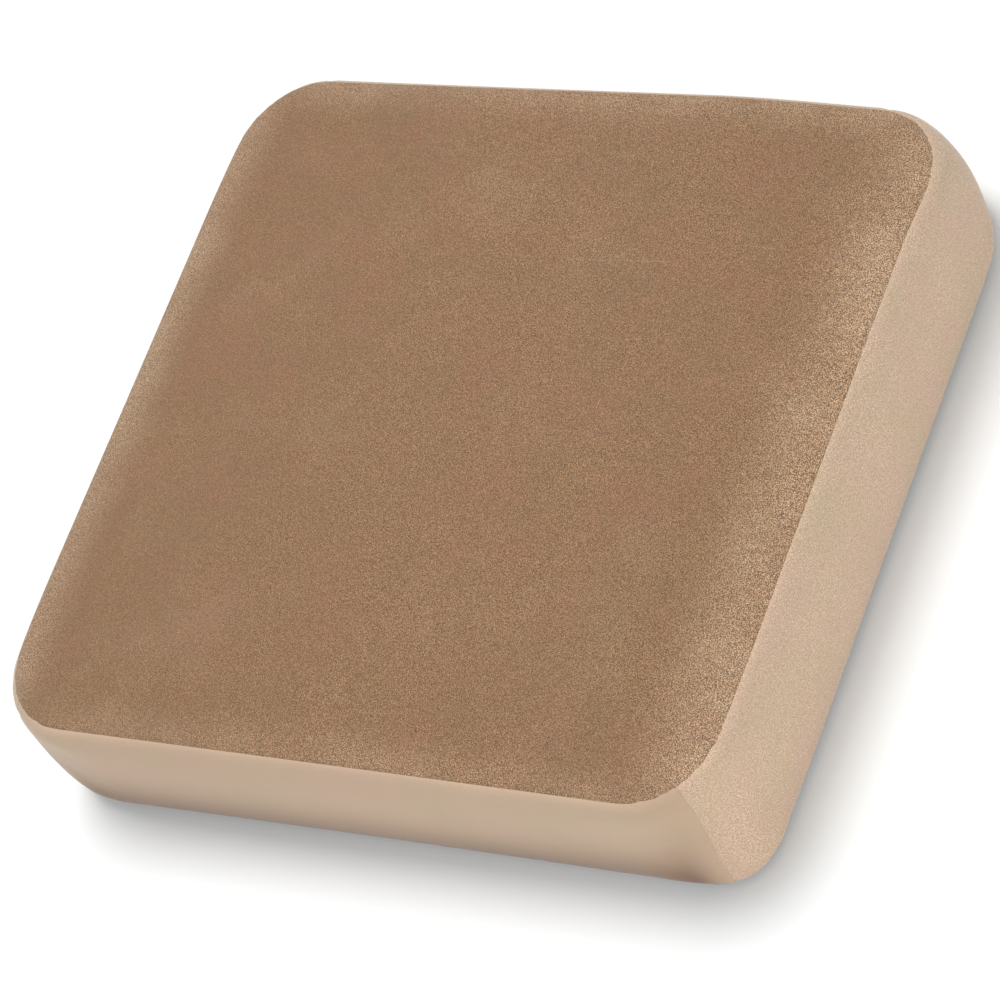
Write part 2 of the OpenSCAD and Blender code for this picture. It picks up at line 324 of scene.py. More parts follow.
# %% Remesh it into small even faces
VOXEL = 4 * MM
remesh = form.modifiers.new("even faces", "REMESH")
remesh.mode, remesh.voxel_size = "VOXEL", VOXEL
relax = form.modifiers.new("relax", "SMOOTH")
relax.factor, relax.iterations = 0.5, 3
apply_all(form)
print("remeshed:", len(form.data.polygons), "faces")

# %% Cut it along the seams
SNAP = 1.4 * MM
EDGE_SLACK = 0.1 * MM


def slide_onto(obj, place, normal, where):
    """Slides the points that lie close to a plane along the surface, onto the plane."""
    co, out = points_of(obj), normals_of(obj)
    normal = np.array(normal) / np.linalg.norm(normal)
    slide = normal - out * (out @ normal)[:, None]
    share = np.maximum(slide @ normal, 0.05)
    ahead = (co - np.array(place)) @ normal
    near = where(co) & (np.abs(ahead) / np.sqrt(share) < SNAP)
    co[near] -= (slide * (ahead / share)[:, None])[near]
    set_points(obj, co)


def cut_along(obj, place, normal, where):
    """Cuts the faces that where() chooses along a plane. Points near it move onto it first, so that no
    sliver is left beside the cut."""
    slide_onto(obj, place, normal, where)
    pick_faces(obj, where(face_centres(obj)))
    bpy.ops.mesh.bisect(plane_co=place, plane_no=normal, use_fill=False, threshold=EDGE_SLACK)
    leave_edit()


def on_bands(co):
    return ((co[:, 2] < TOP_SEAM + EDGE_SLACK) & (co[:, 2] > BOTTOM_SEAM - EDGE_SLACK)
            & (inside_outline(co) < EDGE_R))


def on_strips(co):
    return on_bands(co) & (co[:, 1] > CORNER_Y) & (np.abs(co[:, 0]) < STRIP_END + EDGE_SLACK)


cut_along(form, (0, 0, TOP_SEAM), (0, 0, 1), lambda c: c[:, 2] > PAD_H / 2)
cut_along(form, (0, 0, BOTTOM_SEAM), (0, 0, 1), lambda c: c[:, 2] < PAD_H / 2)
for side in (-1, 1):
    cut_along(form, (side * CORNER_X, -CORNER_Y, 0), (side, 1, 0),
              lambda c: on_bands(c) & (c[:, 1] < 0) & (c[:, 0] * side > 0))
    cut_along(form, (side * STRIP_END, 0, 0), (1, 0, 0),
              lambda c: on_bands(c) & (c[:, 1] > CORNER_Y) & (c[:, 0] * side > 0))
for level in (SLOT_LOW, SLOT_HIGH):
    cut_along(form, (0, 0, level), (0, 0, 1), on_strips)
print("cut along its seams:", len(form.data.polygons), "faces")

# %% Fill it with the cloth simulation
PIN_W = 0.6 * MM
FLAT_ZIP = 9 * MM
STRIP_MARGIN = 4 * MM
PRESSURE, CLOTH_STIFFNESS, LAST_FRAME = 4, 15, 20
before = points_of(form)
near_zip = ((before[:, 1] > CORNER_Y) & (np.abs(before[:, 2] - ZIP_Z) < FLAT_ZIP)
            & (np.abs(before[:, 0]) < STRIP_END + STRIP_MARGIN))
held = (seam_distance(before) < PIN_W) | near_zip
pins = form.vertex_groups.new(name="sewn")
pins.add([int(i) for i in np.nonzero(held)[0]], 1.0, "REPLACE")
cloth = form.modifiers.new("filling", "CLOTH")
cloth.settings.vertex_group_mass = "sewn"
cloth.settings.use_pressure = True
cloth.settings.uniform_pressure_force = PRESSURE
cloth.settings.effector_weights.gravity = 0
cloth.settings.quality = 4
for spring in ("tension_stiffness", "compression_stiffness", "shear_stiffness"):
    setattr(cloth.settings, spring, CLOTH_STIFFNESS)
cloth.settings.bending_stiffness = 0.5
for number in range(1, LAST_FRAME + 1):
    bpy.context.scene.frame_set(number)
apply_all(form)
bpy.context.scene.frame_set(1)
form.vertex_groups.clear()
rise = points_of(form) - before
print("the cloth rose by up to", in_mm([np.linalg.norm(rise, axis=1).max()]), "mm")

# %% Cap the rise, so that the foam shows through the cloth
def blend_in(value, start, end):
    """0 before start and 1 after end, with a soft turn at both."""
    t = np.clip((value - start) / (end - start), 0, 1)
    return t * t * (3 - 2 * t)


TOP_RISE, CROWN_RISE, BAND_RISE, BOTTOM_RISE = 3.2 * MM, 3.0 * MM, 3.0 * MM, 0.8 * MM
CROWN_FROM, CROWN_TO = 10 * MM, 170 * MM
CORNER_BLEND, CORNER_FIRMNESS = 14 * MM, 0.75
top_reach = past_edge_seam(before, True)
bottom_reach = past_edge_seam(before, False)
crown = TOP_RISE + CROWN_RISE * blend_in(top_reach, CROWN_FROM, CROWN_TO)
cap = np.where(top_reach > 0, crown, BAND_RISE)
cap = np.where(bottom_reach > 0, BOTTOM_RISE, cap)
past_flat = np.minimum(np.abs(before[:, 0]) - CORNER_X, np.abs(before[:, 1]) - CORNER_Y)
firm = CORNER_FIRMNESS * blend_in(past_flat, 0, CORNER_BLEND)
cap = cap * (1 - firm * (before[:, 1] > 0) * (top_reach <= 0))
length = np.linalg.norm(rise, axis=1) + 1e-12
capped = cap * np.tanh(length / cap)
filled = before + rise * (capped / length)[:, None]
UNDERSIDE = 0.6 * MM
filled[:, 2] = np.where(filled[:, 2] < 3 * MM, np.maximum(filled[:, 2], UNDERSIDE), filled[:, 2])
set_points(form, filled)
print("rise kept, at the top and at the side, in mm:",
      in_mm((filled[:, 2].max() - PAD_H, filled[:, 0].max() - HALF_W)))

# %% [markdown]
# ## Panels, and the foam inside them
# Each face of the form is told which panel it belongs to while its corners are still where the cuts
# left them. The liner and the foam start as copies of this form, shrunk by the cloth's thickness, so
# nothing inside can come through the cover.

# %% Give each face its panel, and keep a copy for the foam
PANELS = ("top_panel", "front_band", "right_band", "left_band", "zip_strip_upper", "zip_strip_lower",
          "bottom_panel", "slot")
set_points(form, before)
owner = panel_of(face_centres(form))
set_points(form, filled)
for panel in PANELS:
    form.data.materials.append(bpy.data.materials.new(panel))
form.data.polygons.foreach_set("material_index", np.array([PANELS.index(n) for n in owner], np.int32))
core = copy_of(form, "foam_core")
print({n: int((owner == n).sum()) for n in PANELS})

# %% Draw the seams in
smoother = form.modifiers.new("finer", "SUBSURF")
smoother.levels = smoother.render_levels = 1
apply_all(form)
SEAM_DIP, SEAM_DIP_W = 0.5 * MM, 3.5 * MM
co = points_of(form)
dip = SEAM_DIP * np.exp(-(seam_distance(co) / SEAM_DIP_W) ** 2)
on_slot = (co[:, 1] > CORNER_Y) & (np.abs(co[:, 2] - ZIP_Z) < FLAT_ZIP)
set_points(form, co - normals_of(form) * np.where(on_slot, 0, dip)[:, None])
make_active(form)
bpy.ops.object.mode_set(mode="EDIT")
bpy.ops.mesh.separate(type="MATERIAL")
leave_edit()
cover = {o.data.materials[0].name: o for o in bpy.context.selected_objects}
for panel, obj in cover.items():
    obj.name = obj.data.name = "cover_" + panel
bpy.data.objects.remove(cover.pop("slot"))
print({n: len(o.data.polygons) for n, o in cover.items()})

# %% [markdown]
# ## Turned edges
# A sewn panel's edge doesn't end in a sharp cut. It rolls over into the seam. So each panel is drawn
# back a little from the seam, given the cloth's thickness, and the wall that this leaves along its rim
# is rounded outwards until it nearly meets its neighbour.

# %% Turn the panels' edges into the seams
CLOTH_T = 1.5 * MM
ROLL = 0.9 * MM
ROLL_POWER = 5
GAP = -0.05 * MM


def rim_edges(obj):
    """The edges of the mesh that only one face uses."""
    uses = np.zeros(len(obj.data.edges), int)
    np.add.at(uses, read(obj.data.loops, "edge_index", 1, np.int32)[:, 0], 1)
    return np.nonzero(uses == 1)[0]


def edge_ends(obj):
    """The two points of each edge, by number."""
    return read(obj.data.edges, "vertices", 2, np.int32)


def tree_of(co, points):
    """A search tree for the nearest of some points."""
    tree = KDTree(len(points))
    for k in points:
        tree.insert(co[k], int(k))
    tree.balance()
    return tree


RIM_REACH, RIM_AGREE = 8 * MM, 0.6


def outward_at_rim(obj):
    """For each point of the rim, the way out of the panel, along its surface. Neighbours that face about
    the same way are averaged, so that the small steps of the mesh don't show."""
    ends = edge_ends(obj)
    rim = rim_edges(obj)
    co, normal = points_of(obj), normals_of(obj)
    out = np.zeros_like(co)
    face_of = {}
    for face in obj.data.polygons:
        for key in face.edge_keys:
            face_of[key] = face.center
    for a, b in ends[rim]:
        middle = (co[a] + co[b]) / 2
        along = (co[b] - co[a]) / np.linalg.norm(co[b] - co[a])
        away = middle - np.array(face_of[(min(a, b), max(a, b))])
        away -= along * away.dot(along)
        away /= np.linalg.norm(away) + 1e-12
        out[a] += away
        out[b] += away
    points = np.unique(ends[rim])
    tree = tree_of(co, points)
    raw = out / (np.linalg.norm(out, axis=1)[:, None] + 1e-12)
    for k in points:
        near = [raw[j] for _, j, _ in tree.find_range(co[k], RIM_REACH) if raw[j] @ raw[k] > RIM_AGREE]
        out[k] = np.sum(near, axis=0)
    out[points] -= normal[points] * (out[points] * normal[points]).sum(1)[:, None]
    out[points] /= np.linalg.norm(out[points], axis=1)[:, None] + 1e-12
    return points, out


def draw_back(obj, points, out, reach=7 * MM):
    """Squeezes a strip along the rim, so that the panel ends short of the seam."""
    co = points_of(obj)
    tree = tree_of(co, points)
    moved = co.copy()
    near = np.nonzero(seam_distance(co) < reach * 1.5)[0] if len(co) > 4000 else range(len(co))
    for k in near:
        _, j, distance = tree.find(co[k])
        if distance < reach * 1.2:
            away = float(np.dot(co[j] - co[k], out[j]))
            moved[k] -= out[j] * (ROLL + GAP) * max(0.0, 1 - max(away, 0.0) / reach)
    set_points(obj, moved)


def turn_edges(obj):
    """Draws a panel back from its seams, thickens it inwards, and rounds its rim."""
    points, out = outward_at_rim(obj)
    draw_back(obj, points, out)
    normal = normals_of(obj)
    start = points_of(obj)
    for name, values in (("rim_out", out), ("rim_in", -normal), ("rim_place", start)):
        layer = obj.data.attributes.new(name, "FLOAT_VECTOR", "POINT")
        layer.data.foreach_set("vector", values.ravel())
    wall = obj.modifiers.new("cloth thickness", "SOLIDIFY")
    wall.thickness, wall.offset = CLOTH_T, -1
    apply_all(obj)
    ends = edge_ends(obj)
    count = len(start)
    pick_edges(obj, (ends.min(1) < count) & (ends.max(1) >= count))
    bpy.ops.mesh.subdivide(number_cuts=4)
    leave_edit()
    co = points_of(obj)
    total = count * 2
    vectors = {}
    for name in ("rim_out", "rim_in", "rim_place"):
        vectors[name] = read(obj.data.attributes[name].data, "vector")[total:]
        obj.data.attributes.remove(obj.data.attributes[name])
    way_in = vectors["rim_in"] / (np.linalg.norm(vectors["rim_in"], axis=1)[:, None] + 1e-12)
    depth = ((co[total:] - vectors["rim_place"]) * way_in).sum(1) / CLOTH_T
    bulge = ROLL * np.clip(1 - np.abs(2 * depth - 1) ** ROLL_POWER, 0, 1) ** (1 / ROLL_POWER)
    co[total:] += vectors["rim_out"] * bulge[:, None]
    set_points(obj, co)
    return smooth(obj, 50)


for panel, obj in cover.items():
    turn_edges(obj)
    print(obj.name, len(obj.data.polygons), "faces, open edges:", len(rim_edges(obj)))

# %% [markdown]
# ## The foam and its liner
# Under the cover a thin knitted liner keeps the foam clean, and the foam is two slabs: slow foam that
# the knees sink into, on firmer foam. They take the form of the cover's inside. Along the zip they are
# pressed in, to leave room for the slider's inner plate.

# %% Shrink copies of the form for the liner and the foam
LINER_T = 0.5 * MM
DENT_H = 15.4 * MM
DENT_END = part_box("zip_tape_upper")[1].x + 1 * MM
DENT_FROM = HALF_D - 10 * MM
LINER_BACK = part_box("zip_slider")[0].y - 0.3 * MM


def shrunk_form(name, inset, back):
    """The form, smaller by an inset, and pressed in along the zip to a place on Y."""
    obj = copy_of(core, name)
    co = points_of(obj) - normals_of(obj) * inset
    in_dent = ((co[:, 1] > DENT_FROM) & (np.abs(co[:, 2] - ZIP_Z) < DENT_H)
               & (np.abs(co[:, 0]) < DENT_END))
    co[in_dent, 1] = np.minimum(co[in_dent, 1], back)
    set_points(obj, co)
    obj.data.materials.clear()
    return obj


def keep_between(obj, low, high, fill):
    """Cuts the piece off below one height and above another."""
    for level, above in ((low, False), (high, True)):
        if level is not None:
            slice_at(obj, (0, 0, level), (0, 0, 1), use_fill=fill,
                     clear_outer=above, clear_inner=not above)
    return obj


SEAM_HALF = 0.3 * MM
liner_parts = {}
for name, low, high in (("liner_upper", LINER_SEAM + SEAM_HALF, None),
                        ("liner_base", None, LINER_SEAM - SEAM_HALF)):
    part = keep_between(shrunk_form("knitted_" + name, LINER_INSET, LINER_BACK), low, high, False)
    knit = part.modifiers.new("knit thickness", "SOLIDIFY")
    knit.thickness, knit.offset = LINER_T, -1
    liner_parts[name] = smooth(apply_all(part), 60)
FOAM_INSET = LINER_INSET + LINER_T + 0.2 * MM
foam_parts = {}
for name, low, high in (("memory_foam_layer", FOAM_SPLIT, None),
                        ("support_foam_layer", None, FOAM_SPLIT)):
    part = keep_between(shrunk_form(name + "_slab", FOAM_INSET, LINER_BACK - 0.7 * MM), low, high, True)
    foam_parts[name] = smooth(part, 40)
for part in [*liner_parts.values(), *foam_parts.values()]:
    print(part.name, len(part.data.polygons), "faces, open edges:", len(rim_edges(part)))

# %% [markdown]
# ## Grip dots
# The underside is a coarse cloth with rows of small soft dots on it, which stop the pad from sliding.
# One dot is modelled as a low dome and copied over the flat of the cloth in offset rows.

# %% Make one grip dot and copy it
def mesh_arrays(obj):
    """A mesh as points and faces, for copying many times."""
    return points_of(obj), [list(f.vertices) for f in obj.data.polygons]


def many_copies(name, pattern, places):
    """One mesh of copies of a pattern, each moved by a 4 by 4 matrix."""
    co, faces = mesh_arrays(pattern)
    bpy.data.objects.remove(pattern)
    all_co, all_faces = [], []
    for n, place in enumerate(places):
        turn = np.array(place)
        all_co.append(co @ turn[:3, :3].T + turn[:3, 3])
        all_faces += [[v + n * len(co) for v in f] for f in faces]
    mesh = bpy.data.meshes.new(name)
    mesh.from_pydata(np.concatenate(all_co), [], all_faces)
    return smooth(add_object(name, mesh), 60)


DOT_R, DOT_PITCH, DOT_TOP = 1.3 * MM, 8 * MM, 0.75 * MM
DOT_ROWS, DOT_MARGIN = 40, 19 * MM
clear_selection()
bpy.ops.mesh.primitive_circle_add(vertices=8, radius=DOT_R, fill_type="NGON", location=(0, 0, DOT_TOP))
dot = place_in_mesh()
open_all(dot)
for drop, size in ((0.45, 0.94), (0.22, 0.78), (0.08, 0.5)):
    draw_out((0, 0, -drop * MM))
    bpy.ops.transform.resize(value=(size, size, 1), center_override=(0, 0, 0))
close_outwards()
rows = []
for j in range(-DOT_ROWS, DOT_ROWS + 1):
    for i in range(-DOT_ROWS, DOT_ROWS + 1):
        place = Vector(((i + (j % 2) / 2) * DOT_PITCH, j * DOT_PITCH * math.sqrt(3) / 2, 0))
        if inside_outline(np.array([place]))[0] > DOT_MARGIN:
            rows.append(Matrix.Translation(place))
grip_dots = many_copies("grip_dots", dot, rows)
print("grip dots:", len(rows), "faces:", len(grip_dots.data.polygons))

# %% [markdown]
# ## Stitches
# Every seam is lock stitching: short lengths of thread that dip into the cloth at both ends. One stitch
# is drawn out of a small ring of points, arched, and copied along the path of each seam.

# %% Make a stitch and lay it along a path
STITCH_STEPS = ((0.12, 0.75, 1.7), (0.2, 0.25, 1.18), (0.18, 0, 1), (0.18, 0, 1), (0.2, -0.25, 0.85),
                (0.12, -0.75, 0.59))


def selected_middle(obj):
    """The middle of the points that are selected in edit mode."""
    obj.update_from_editmode()
    chosen = [v.co for v in obj.data.vertices if v.select]
    return sum(chosen, Vector()) / len(chosen)


def new_stitch(length, width, thick, arch):
    """One stitch along X, arched upwards along Z, with both ends turned down."""
    clear_selection()
    bpy.ops.mesh.primitive_circle_add(vertices=6, radius=0.5, fill_type="NGON",
                                      rotation=(0, math.pi / 2, 0))
    obj = place_in_mesh()
    open_all(obj)
    bpy.ops.transform.resize(value=(1, width / 2, thick / 2), center_override=(0, 0, 0))
    bpy.ops.transform.translate(value=(-length / 2, 0, -arch))
    for step, lift, size in STITCH_STEPS:
        draw_out((step * length, 0, lift * arch))
        bpy.ops.transform.resize(value=(1, size, size), center_override=selected_middle(obj))
    close_outwards()
    return obj


def stitch_places(path, outward, spacing, closed, skew=0.0):
    """Matrices for stitches spaced evenly along a path, facing outward() at each place."""
    path = [Vector(p) for p in path]
    if closed:
        path.append(path[0])
    steps = [(b - a).length for a, b in zip(path, path[1:])]
    total = sum(steps)
    count = round(total / spacing)
    marks = np.concatenate([[0], np.cumsum(steps)])
    places = []
    for k in range(count):
        at = (k + 0.5) * total / count
        i = min(int(np.searchsorted(marks, at, "right")) - 1, len(steps) - 1)
        along = (path[i + 1] - path[i]).normalized()
        place = path[i] + along * (at - marks[i])
        up = outward(place)
        up = (up - along * up.dot(along)).normalized()
        side = up.cross(along)
        turned = along * math.cos(skew) + side * math.sin(skew)
        axes = Matrix((turned, up.cross(turned), up)).transposed().to_4x4()
        places.append(Matrix.Translation(place) @ axes)
    return places


def ring_path(inset, height, count=24):
    """A closed path round the pad, an inset from its plan's outline."""
    path = []
    for sx, sy, start in ((1, -1, -90), (1, 1, 0), (-1, 1, 90), (-1, -1, 180)):
        for a in np.radians(np.linspace(start, start + 90, count)):
            path.append((sx * CORNER_X + (CORNER_R - inset) * math.cos(a),
                         sy * CORNER_Y + (CORNER_R - inset) * math.sin(a), height))
    return path


def plan_outward(place):
    """The way out of the pad's plan at a place."""
    x = max(-CORNER_X, min(CORNER_X, place.x))
    y = max(-CORNER_Y, min(CORNER_Y, place.y))
    return (place - Vector((x, y, place.z))).normalized()


# %% Sew the seams
STITCH_L, STITCH_PITCH = 2.9 * MM, 3.3 * MM
SEAM_STITCH = (STITCH_L, 0.55 * MM, 0.5 * MM, 0.35 * MM)
TOP_STITCH = (STITCH_L, 0.55 * MM, 0.45 * MM, 0.3 * MM)
LINER_STITCH = (STITCH_L, 1.1 * MM, 0.6 * MM, 0.3 * MM)
SEAM_DEPTH, SEAM_ENDS = 1.75 * MM, 2.5 * MM
lean = math.sin(SEAM_ANGLE)
seams = {}


def sew(node, stitch, places):
    """Lays one kind of stitch at each place, as the thread that stands for a CAD node."""
    seams[node] = many_copies("stitches_" + node, new_stitch(*stitch), places)


for node, level, rise in (("top_seam_thread", TOP_SEAM, 1), ("bottom_seam_thread", BOTTOM_SEAM, -1)):
    inset = EDGE_R * (1 - math.cos(SEAM_ANGLE)) + SEAM_DEPTH * lean
    path = ring_path(inset, level - rise * SEAM_DEPTH * lean)
    places = stitch_places(path, lambda p: plan_outward(p) + Vector((0, 0, rise)), STITCH_PITCH, True)
    sew(node, SEAM_STITCH, places)


def upright_path(angle, corner):
    """A path up the side of the pad at an angle round a corner, a little below its surface."""
    path = []
    for height in np.linspace(BOTTOM_SEAM + SEAM_ENDS, TOP_SEAM - SEAM_ENDS, 40):
        over = max(0, EDGE_R - height, height - (PAD_H - EDGE_R))
        inset = EDGE_R - math.sqrt(EDGE_R ** 2 - over ** 2) + SEAM_DEPTH
        r = CORNER_R - inset
        path.append((corner[0] + r * math.cos(angle), corner[1] + r * math.sin(angle), height))
    return path


FRONT_CORNERS = ((CORNER_X, -CORNER_Y, -45), (-CORNER_X, -CORNER_Y, -135))
STRIP_ENDS = ((STRIP_END, CORNER_Y, 90), (-STRIP_END, CORNER_Y, 90))
for node, corners in (("front_corner_seam_threads", FRONT_CORNERS),
                      ("zip_strip_seam_threads", STRIP_ENDS)):
    places = []
    for x, y, angle in corners:
        path = upright_path(math.radians(angle), (x, y))
        places += stitch_places(path, plan_outward, STITCH_PITCH, False)
    sew(node, SEAM_STITCH, places)
print("sewn:", {n: len(o.data.polygons) for n, o in seams.items()})

# %% Sew the topstitching beside the zip
for node in ("zip_topstitch_upper", "zip_topstitch_lower"):
    low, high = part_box(node)
    path = [(x, low.y + 0.05 * MM, (low.z + high.z) / 2) for x in (low.x, high.x)]
    places = stitch_places(path, lambda p: Vector((0, 1, 0)), STITCH_PITCH, False, math.radians(4))
    sew(node, TOP_STITCH, places)
    print(node, len(places), "stitches")

# %% Sew the liner's two halves together
liner_path = []
for place in ring_path(0, LINER_SEAM):
    _, nearest, facing, _ = core.closest_point_on_mesh(place)
    liner_path.append(nearest - facing * (LINER_INSET + 0.2 * MM))
places = stitch_places(liner_path, plan_outward, STITCH_PITCH, True)
sew("liner_seam_thread", LINER_STITCH, places)
bpy.data.objects.remove(core)
print("liner seam:", len(places), "stitches")

# %% [markdown]
# ## The zip
# The zip is a nylon coil zip: two woven tapes, each with a flattened coil of thick thread sewn to its
# edge. Looked at closely, a coil is one loop again and again, so one turn of it is spun out of a ring of
# points and copied. Each end has a metal stop, and a velvet tab closes the slot beyond it.

# %% Helper for shapes that are cut from sheet metal or cloth
def cut_plate(name, outline, low, high, rim, segments=2, upright=False):
    """A plate with an outline in X and Z between two places on Y, or in X and Y between two heights."""
    clear_selection()
    mesh = bpy.data.meshes.new(name)
    corners = [(a, b, low) if upright else (a, low, b) for a, b in outline]
    mesh.from_pydata(corners, [], [list(range(len(corners)))])
    obj = add_object(name, mesh)
    rise = Vector((0, 0, high - low)) if upright else Vector((0, high - low, 0))
    open_all(obj)
    draw_out(rise)
    close_outwards()
    axis = 2 if upright else 1
    round_edges(obj, lambda a, b: abs(a[axis] - b[axis]) < TINY / 10, rim, segments)
    return smooth(obj, 40)


def join(name, parts):
    """Makes several meshes one piece."""
    make_active(parts[0])
    for part in parts:
        part.select_set(True)
    if len(parts) > 1:
        bpy.ops.object.join()
    parts[0].name = parts[0].data.name = name
    return parts[0]


def mirrored_z(outline):
    return [(x, -z) for x, z in outline]


def arc(x, z, radius, start, end, steps=5):
    """Points on part of a circle, in degrees."""
    angles = np.radians(np.linspace(start, end, steps + 1))
    return [(x + radius * math.cos(a), z + radius * math.sin(a)) for a in angles]


# %% Weave the tapes
zip_parts = {}
SLIT_HALF = 0.5 * MM
SELVEDGE = 1.2 * MM
for node, side in (("zip_tape_upper", 1), ("zip_tape_lower", -1)):
    low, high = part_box(node)
    inner = ZIP_Z + side * SLIT_HALF
    low.z, high.z = (inner, high.z) if side > 0 else (low.z, inner)
    tape = add_block("woven_" + node, low, high)
    round_edges(tape, lambda a, b: abs(a.x - b.x) > HALF_W / 2, 0.22 * MM, 3)
    slice_at(tape, (0, 0, inner + side * SELVEDGE), (0, 0, 1))
    zip_parts[node] = smooth(tape, 40)
    print(tape.name, len(tape.data.polygons), "faces")

# %% Spin one turn of the coil
WIRE_R, WIRE_SPREAD = 0.36 * MM, 1.35
COIL_PITCH = 2 * MM
HEAD_REACH = 0.48 * MM
COIL_STITCH = (1.9 * MM, 0.42 * MM, 0.3 * MM, 0.3 * MM)
coil_low, coil_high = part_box("zip_coil_upper")
COIL_Y = (coil_low.y + coil_high.y) / 2
TURN_R = (coil_high.y - coil_low.y) / 2 - WIRE_R
HEAD_Z = HEAD_REACH + WIRE_R + TURN_R
ROOT_Z = coil_high.z - ZIP_Z - WIRE_R - TURN_R
RING = 8


def coil_turn():
    """One turn of the coil round its middle at X 0, as a spring that moves on along X."""
    clear_selection()
    bpy.ops.mesh.primitive_circle_add(vertices=RING, radius=WIRE_R, fill_type="NGON",
                                      location=(0, COIL_Y + TURN_R, ROOT_Z))
    obj = place_in_mesh()
    open_all(obj)
    bpy.ops.transform.resize(value=(WIRE_SPREAD, 1, 1), center_override=(0, 0, 0))
    for z, leg in ((HEAD_Z, HEAD_Z - ROOT_Z), (ROOT_Z, ROOT_Z - HEAD_Z)):
        draw_out((0, 0, leg))
        bpy.ops.mesh.spin(steps=6, angle=-math.pi, center=(0, COIL_Y, z), axis=(1, 0, 0))
    leave_edit()
    return obj


turn_of_coil = coil_turn()
rings = points_of(turn_of_coil).reshape(-1, RING, 3)
middles = rings.mean(axis=1)
walked = np.concatenate([[0], np.cumsum(np.linalg.norm(np.diff(middles, axis=0), axis=1))])
slant = np.repeat((walked / walked[-1] - 0.25) * COIL_PITCH, RING)
set_points(turn_of_coil, points_of(turn_of_coil) + np.column_stack([slant, 0 * slant, 0 * slant]))
open_all(turn_of_coil)
close_outwards()
print("one turn:", len(rings), "rings, from", in_mm(middles[0]), "to", in_mm(middles[-1]))

# %% Copy it along both tapes, with the cord inside and the sewing over it
for node, side, shift in (("zip_coil_upper", 1, 0.2 * MM), ("zip_coil_lower", -1, 1.2 * MM)):
    low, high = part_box(node)
    loops = int((high.x - low.x - shift - 1.1 * MM) / COIL_PITCH) + 1
    flip = Matrix.Diagonal((side, 1, side, 1))
    starts = [low.x + shift + 0.55 * MM + i * COIL_PITCH for i in range(loops)]
    turns = many_copies("turns_" + node, copy_of(turn_of_coil, "turn"),
                        [Matrix.Translation((x, 0, ZIP_Z)) @ flip for x in starts])
    stem_z = ZIP_Z + side * (HEAD_Z + ROOT_Z) / 2
    clear_selection()
    bpy.ops.mesh.primitive_cylinder_add(vertices=8, radius=0.34 * MM, depth=high.x - low.x,
                                        rotation=(0, math.pi / 2, 0), location=(0, COIL_Y, stem_z))
    stem = place_in_mesh()
    round_edges(stem, lambda a, b: abs(a.x - b.x) < TINY, 0.1 * MM, 1)
    sew_z = ZIP_Z + side * (ROOT_Z + 0.25 * MM)
    laid = Matrix.Rotation(-math.pi / 2, 4, "X")
    over = [Matrix.Translation((x + 1 * MM, high.y - 0.02 * MM, sew_z)) @ laid for x in starts[:-1]]
    sewing = many_copies("sewing_" + node, new_stitch(*COIL_STITCH), over)
    zip_parts[node] = smooth(join("coil_" + node, [turns, stem, sewing]), 50)
    print(zip_parts[node].name, loops, "turns", len(zip_parts[node].data.polygons), "faces")
bpy.data.objects.remove(turn_of_coil)

# %% Crimp the stops
STOP_GAP = 0.7 * MM
for node in ("zip_top_stops", "zip_bottom_stop"):
    low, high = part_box(node)
    clamps = []
    halves = ((low.z, high.z),)
    if node == "zip_top_stops":
        halves = ((low.z, ZIP_Z - STOP_GAP), (ZIP_Z + STOP_GAP, high.z))
    for z0, z1 in halves:
        outline = [(low.x, z0), (high.x, z0), (high.x, z1), (low.x, z1)]
        clamp = cut_plate("clamp", outline, low.y, high.y, 0.4 * MM, 3)
        pick_faces(clamp, face_centres(clamp)[:, 1] > high.y - TINY)
        bpy.ops.mesh.inset(thickness=0.25 * MM)
        bpy.ops.transform.translate(value=(0, -0.2 * MM, 0))
        leave_edit()
        clamps.append(clamp)
    zip_parts[node] = smooth(join("crimped_" + node, clamps), 40)
    print(zip_parts[node].name, len(zip_parts[node].data.polygons), "faces")

# %% Fold the velvet tabs
HEM = 2.4 * MM
HEM_LINE, HEM_DIP, HEM_STEP = 0.25 * MM, 0.4 * MM, 0.25 * MM
TAB_TUCK, TAB_ROUND = 1.2 * MM, 0.75 * MM
for node, side in (("zip_end_tab_left", -1), ("zip_end_tab_right", 1)):
    low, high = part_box(node)
    hem = low.x + HEM if side > 0 else high.x - HEM
    low.x, high.x = (low.x, high.x + TAB_TUCK) if side > 0 else (low.x - TAB_TUCK, high.x)
    tab = add_block("folded_" + node, low, high)
    round_edges(tab, lambda a, b: min(a.y, b.y) > high.y - TINY, TAB_ROUND, 5)
    for place in (hem - HEM_LINE, hem, hem + HEM_LINE):
        slice_at(tab, (place, 0, 0), (1, 0, 0))
    co = points_of(tab)
    face = co[:, 1] > low.y + 0.2 * MM
    co[:, 1] -= HEM_DIP * ((np.abs(co[:, 0] - hem) < 0.01 * MM) & face)
    co[:, 1] += HEM_STEP * (((co[:, 0] - hem) * side < -HEM_LINE / 2) & face)
    set_points(tab, co)
    zip_parts[node] = smooth(tab, 50)
    print(tab.name, len(tab.data.polygons), "faces")

# %% [markdown]
# ## The slider and its pull
# The slider is a small casting: two plates joined by a post, with flanges that press the coils together,
# and a bow that holds the pull. The pull is cut from flat metal with a window at one end, and its face is
# sunk inside a raised rim.

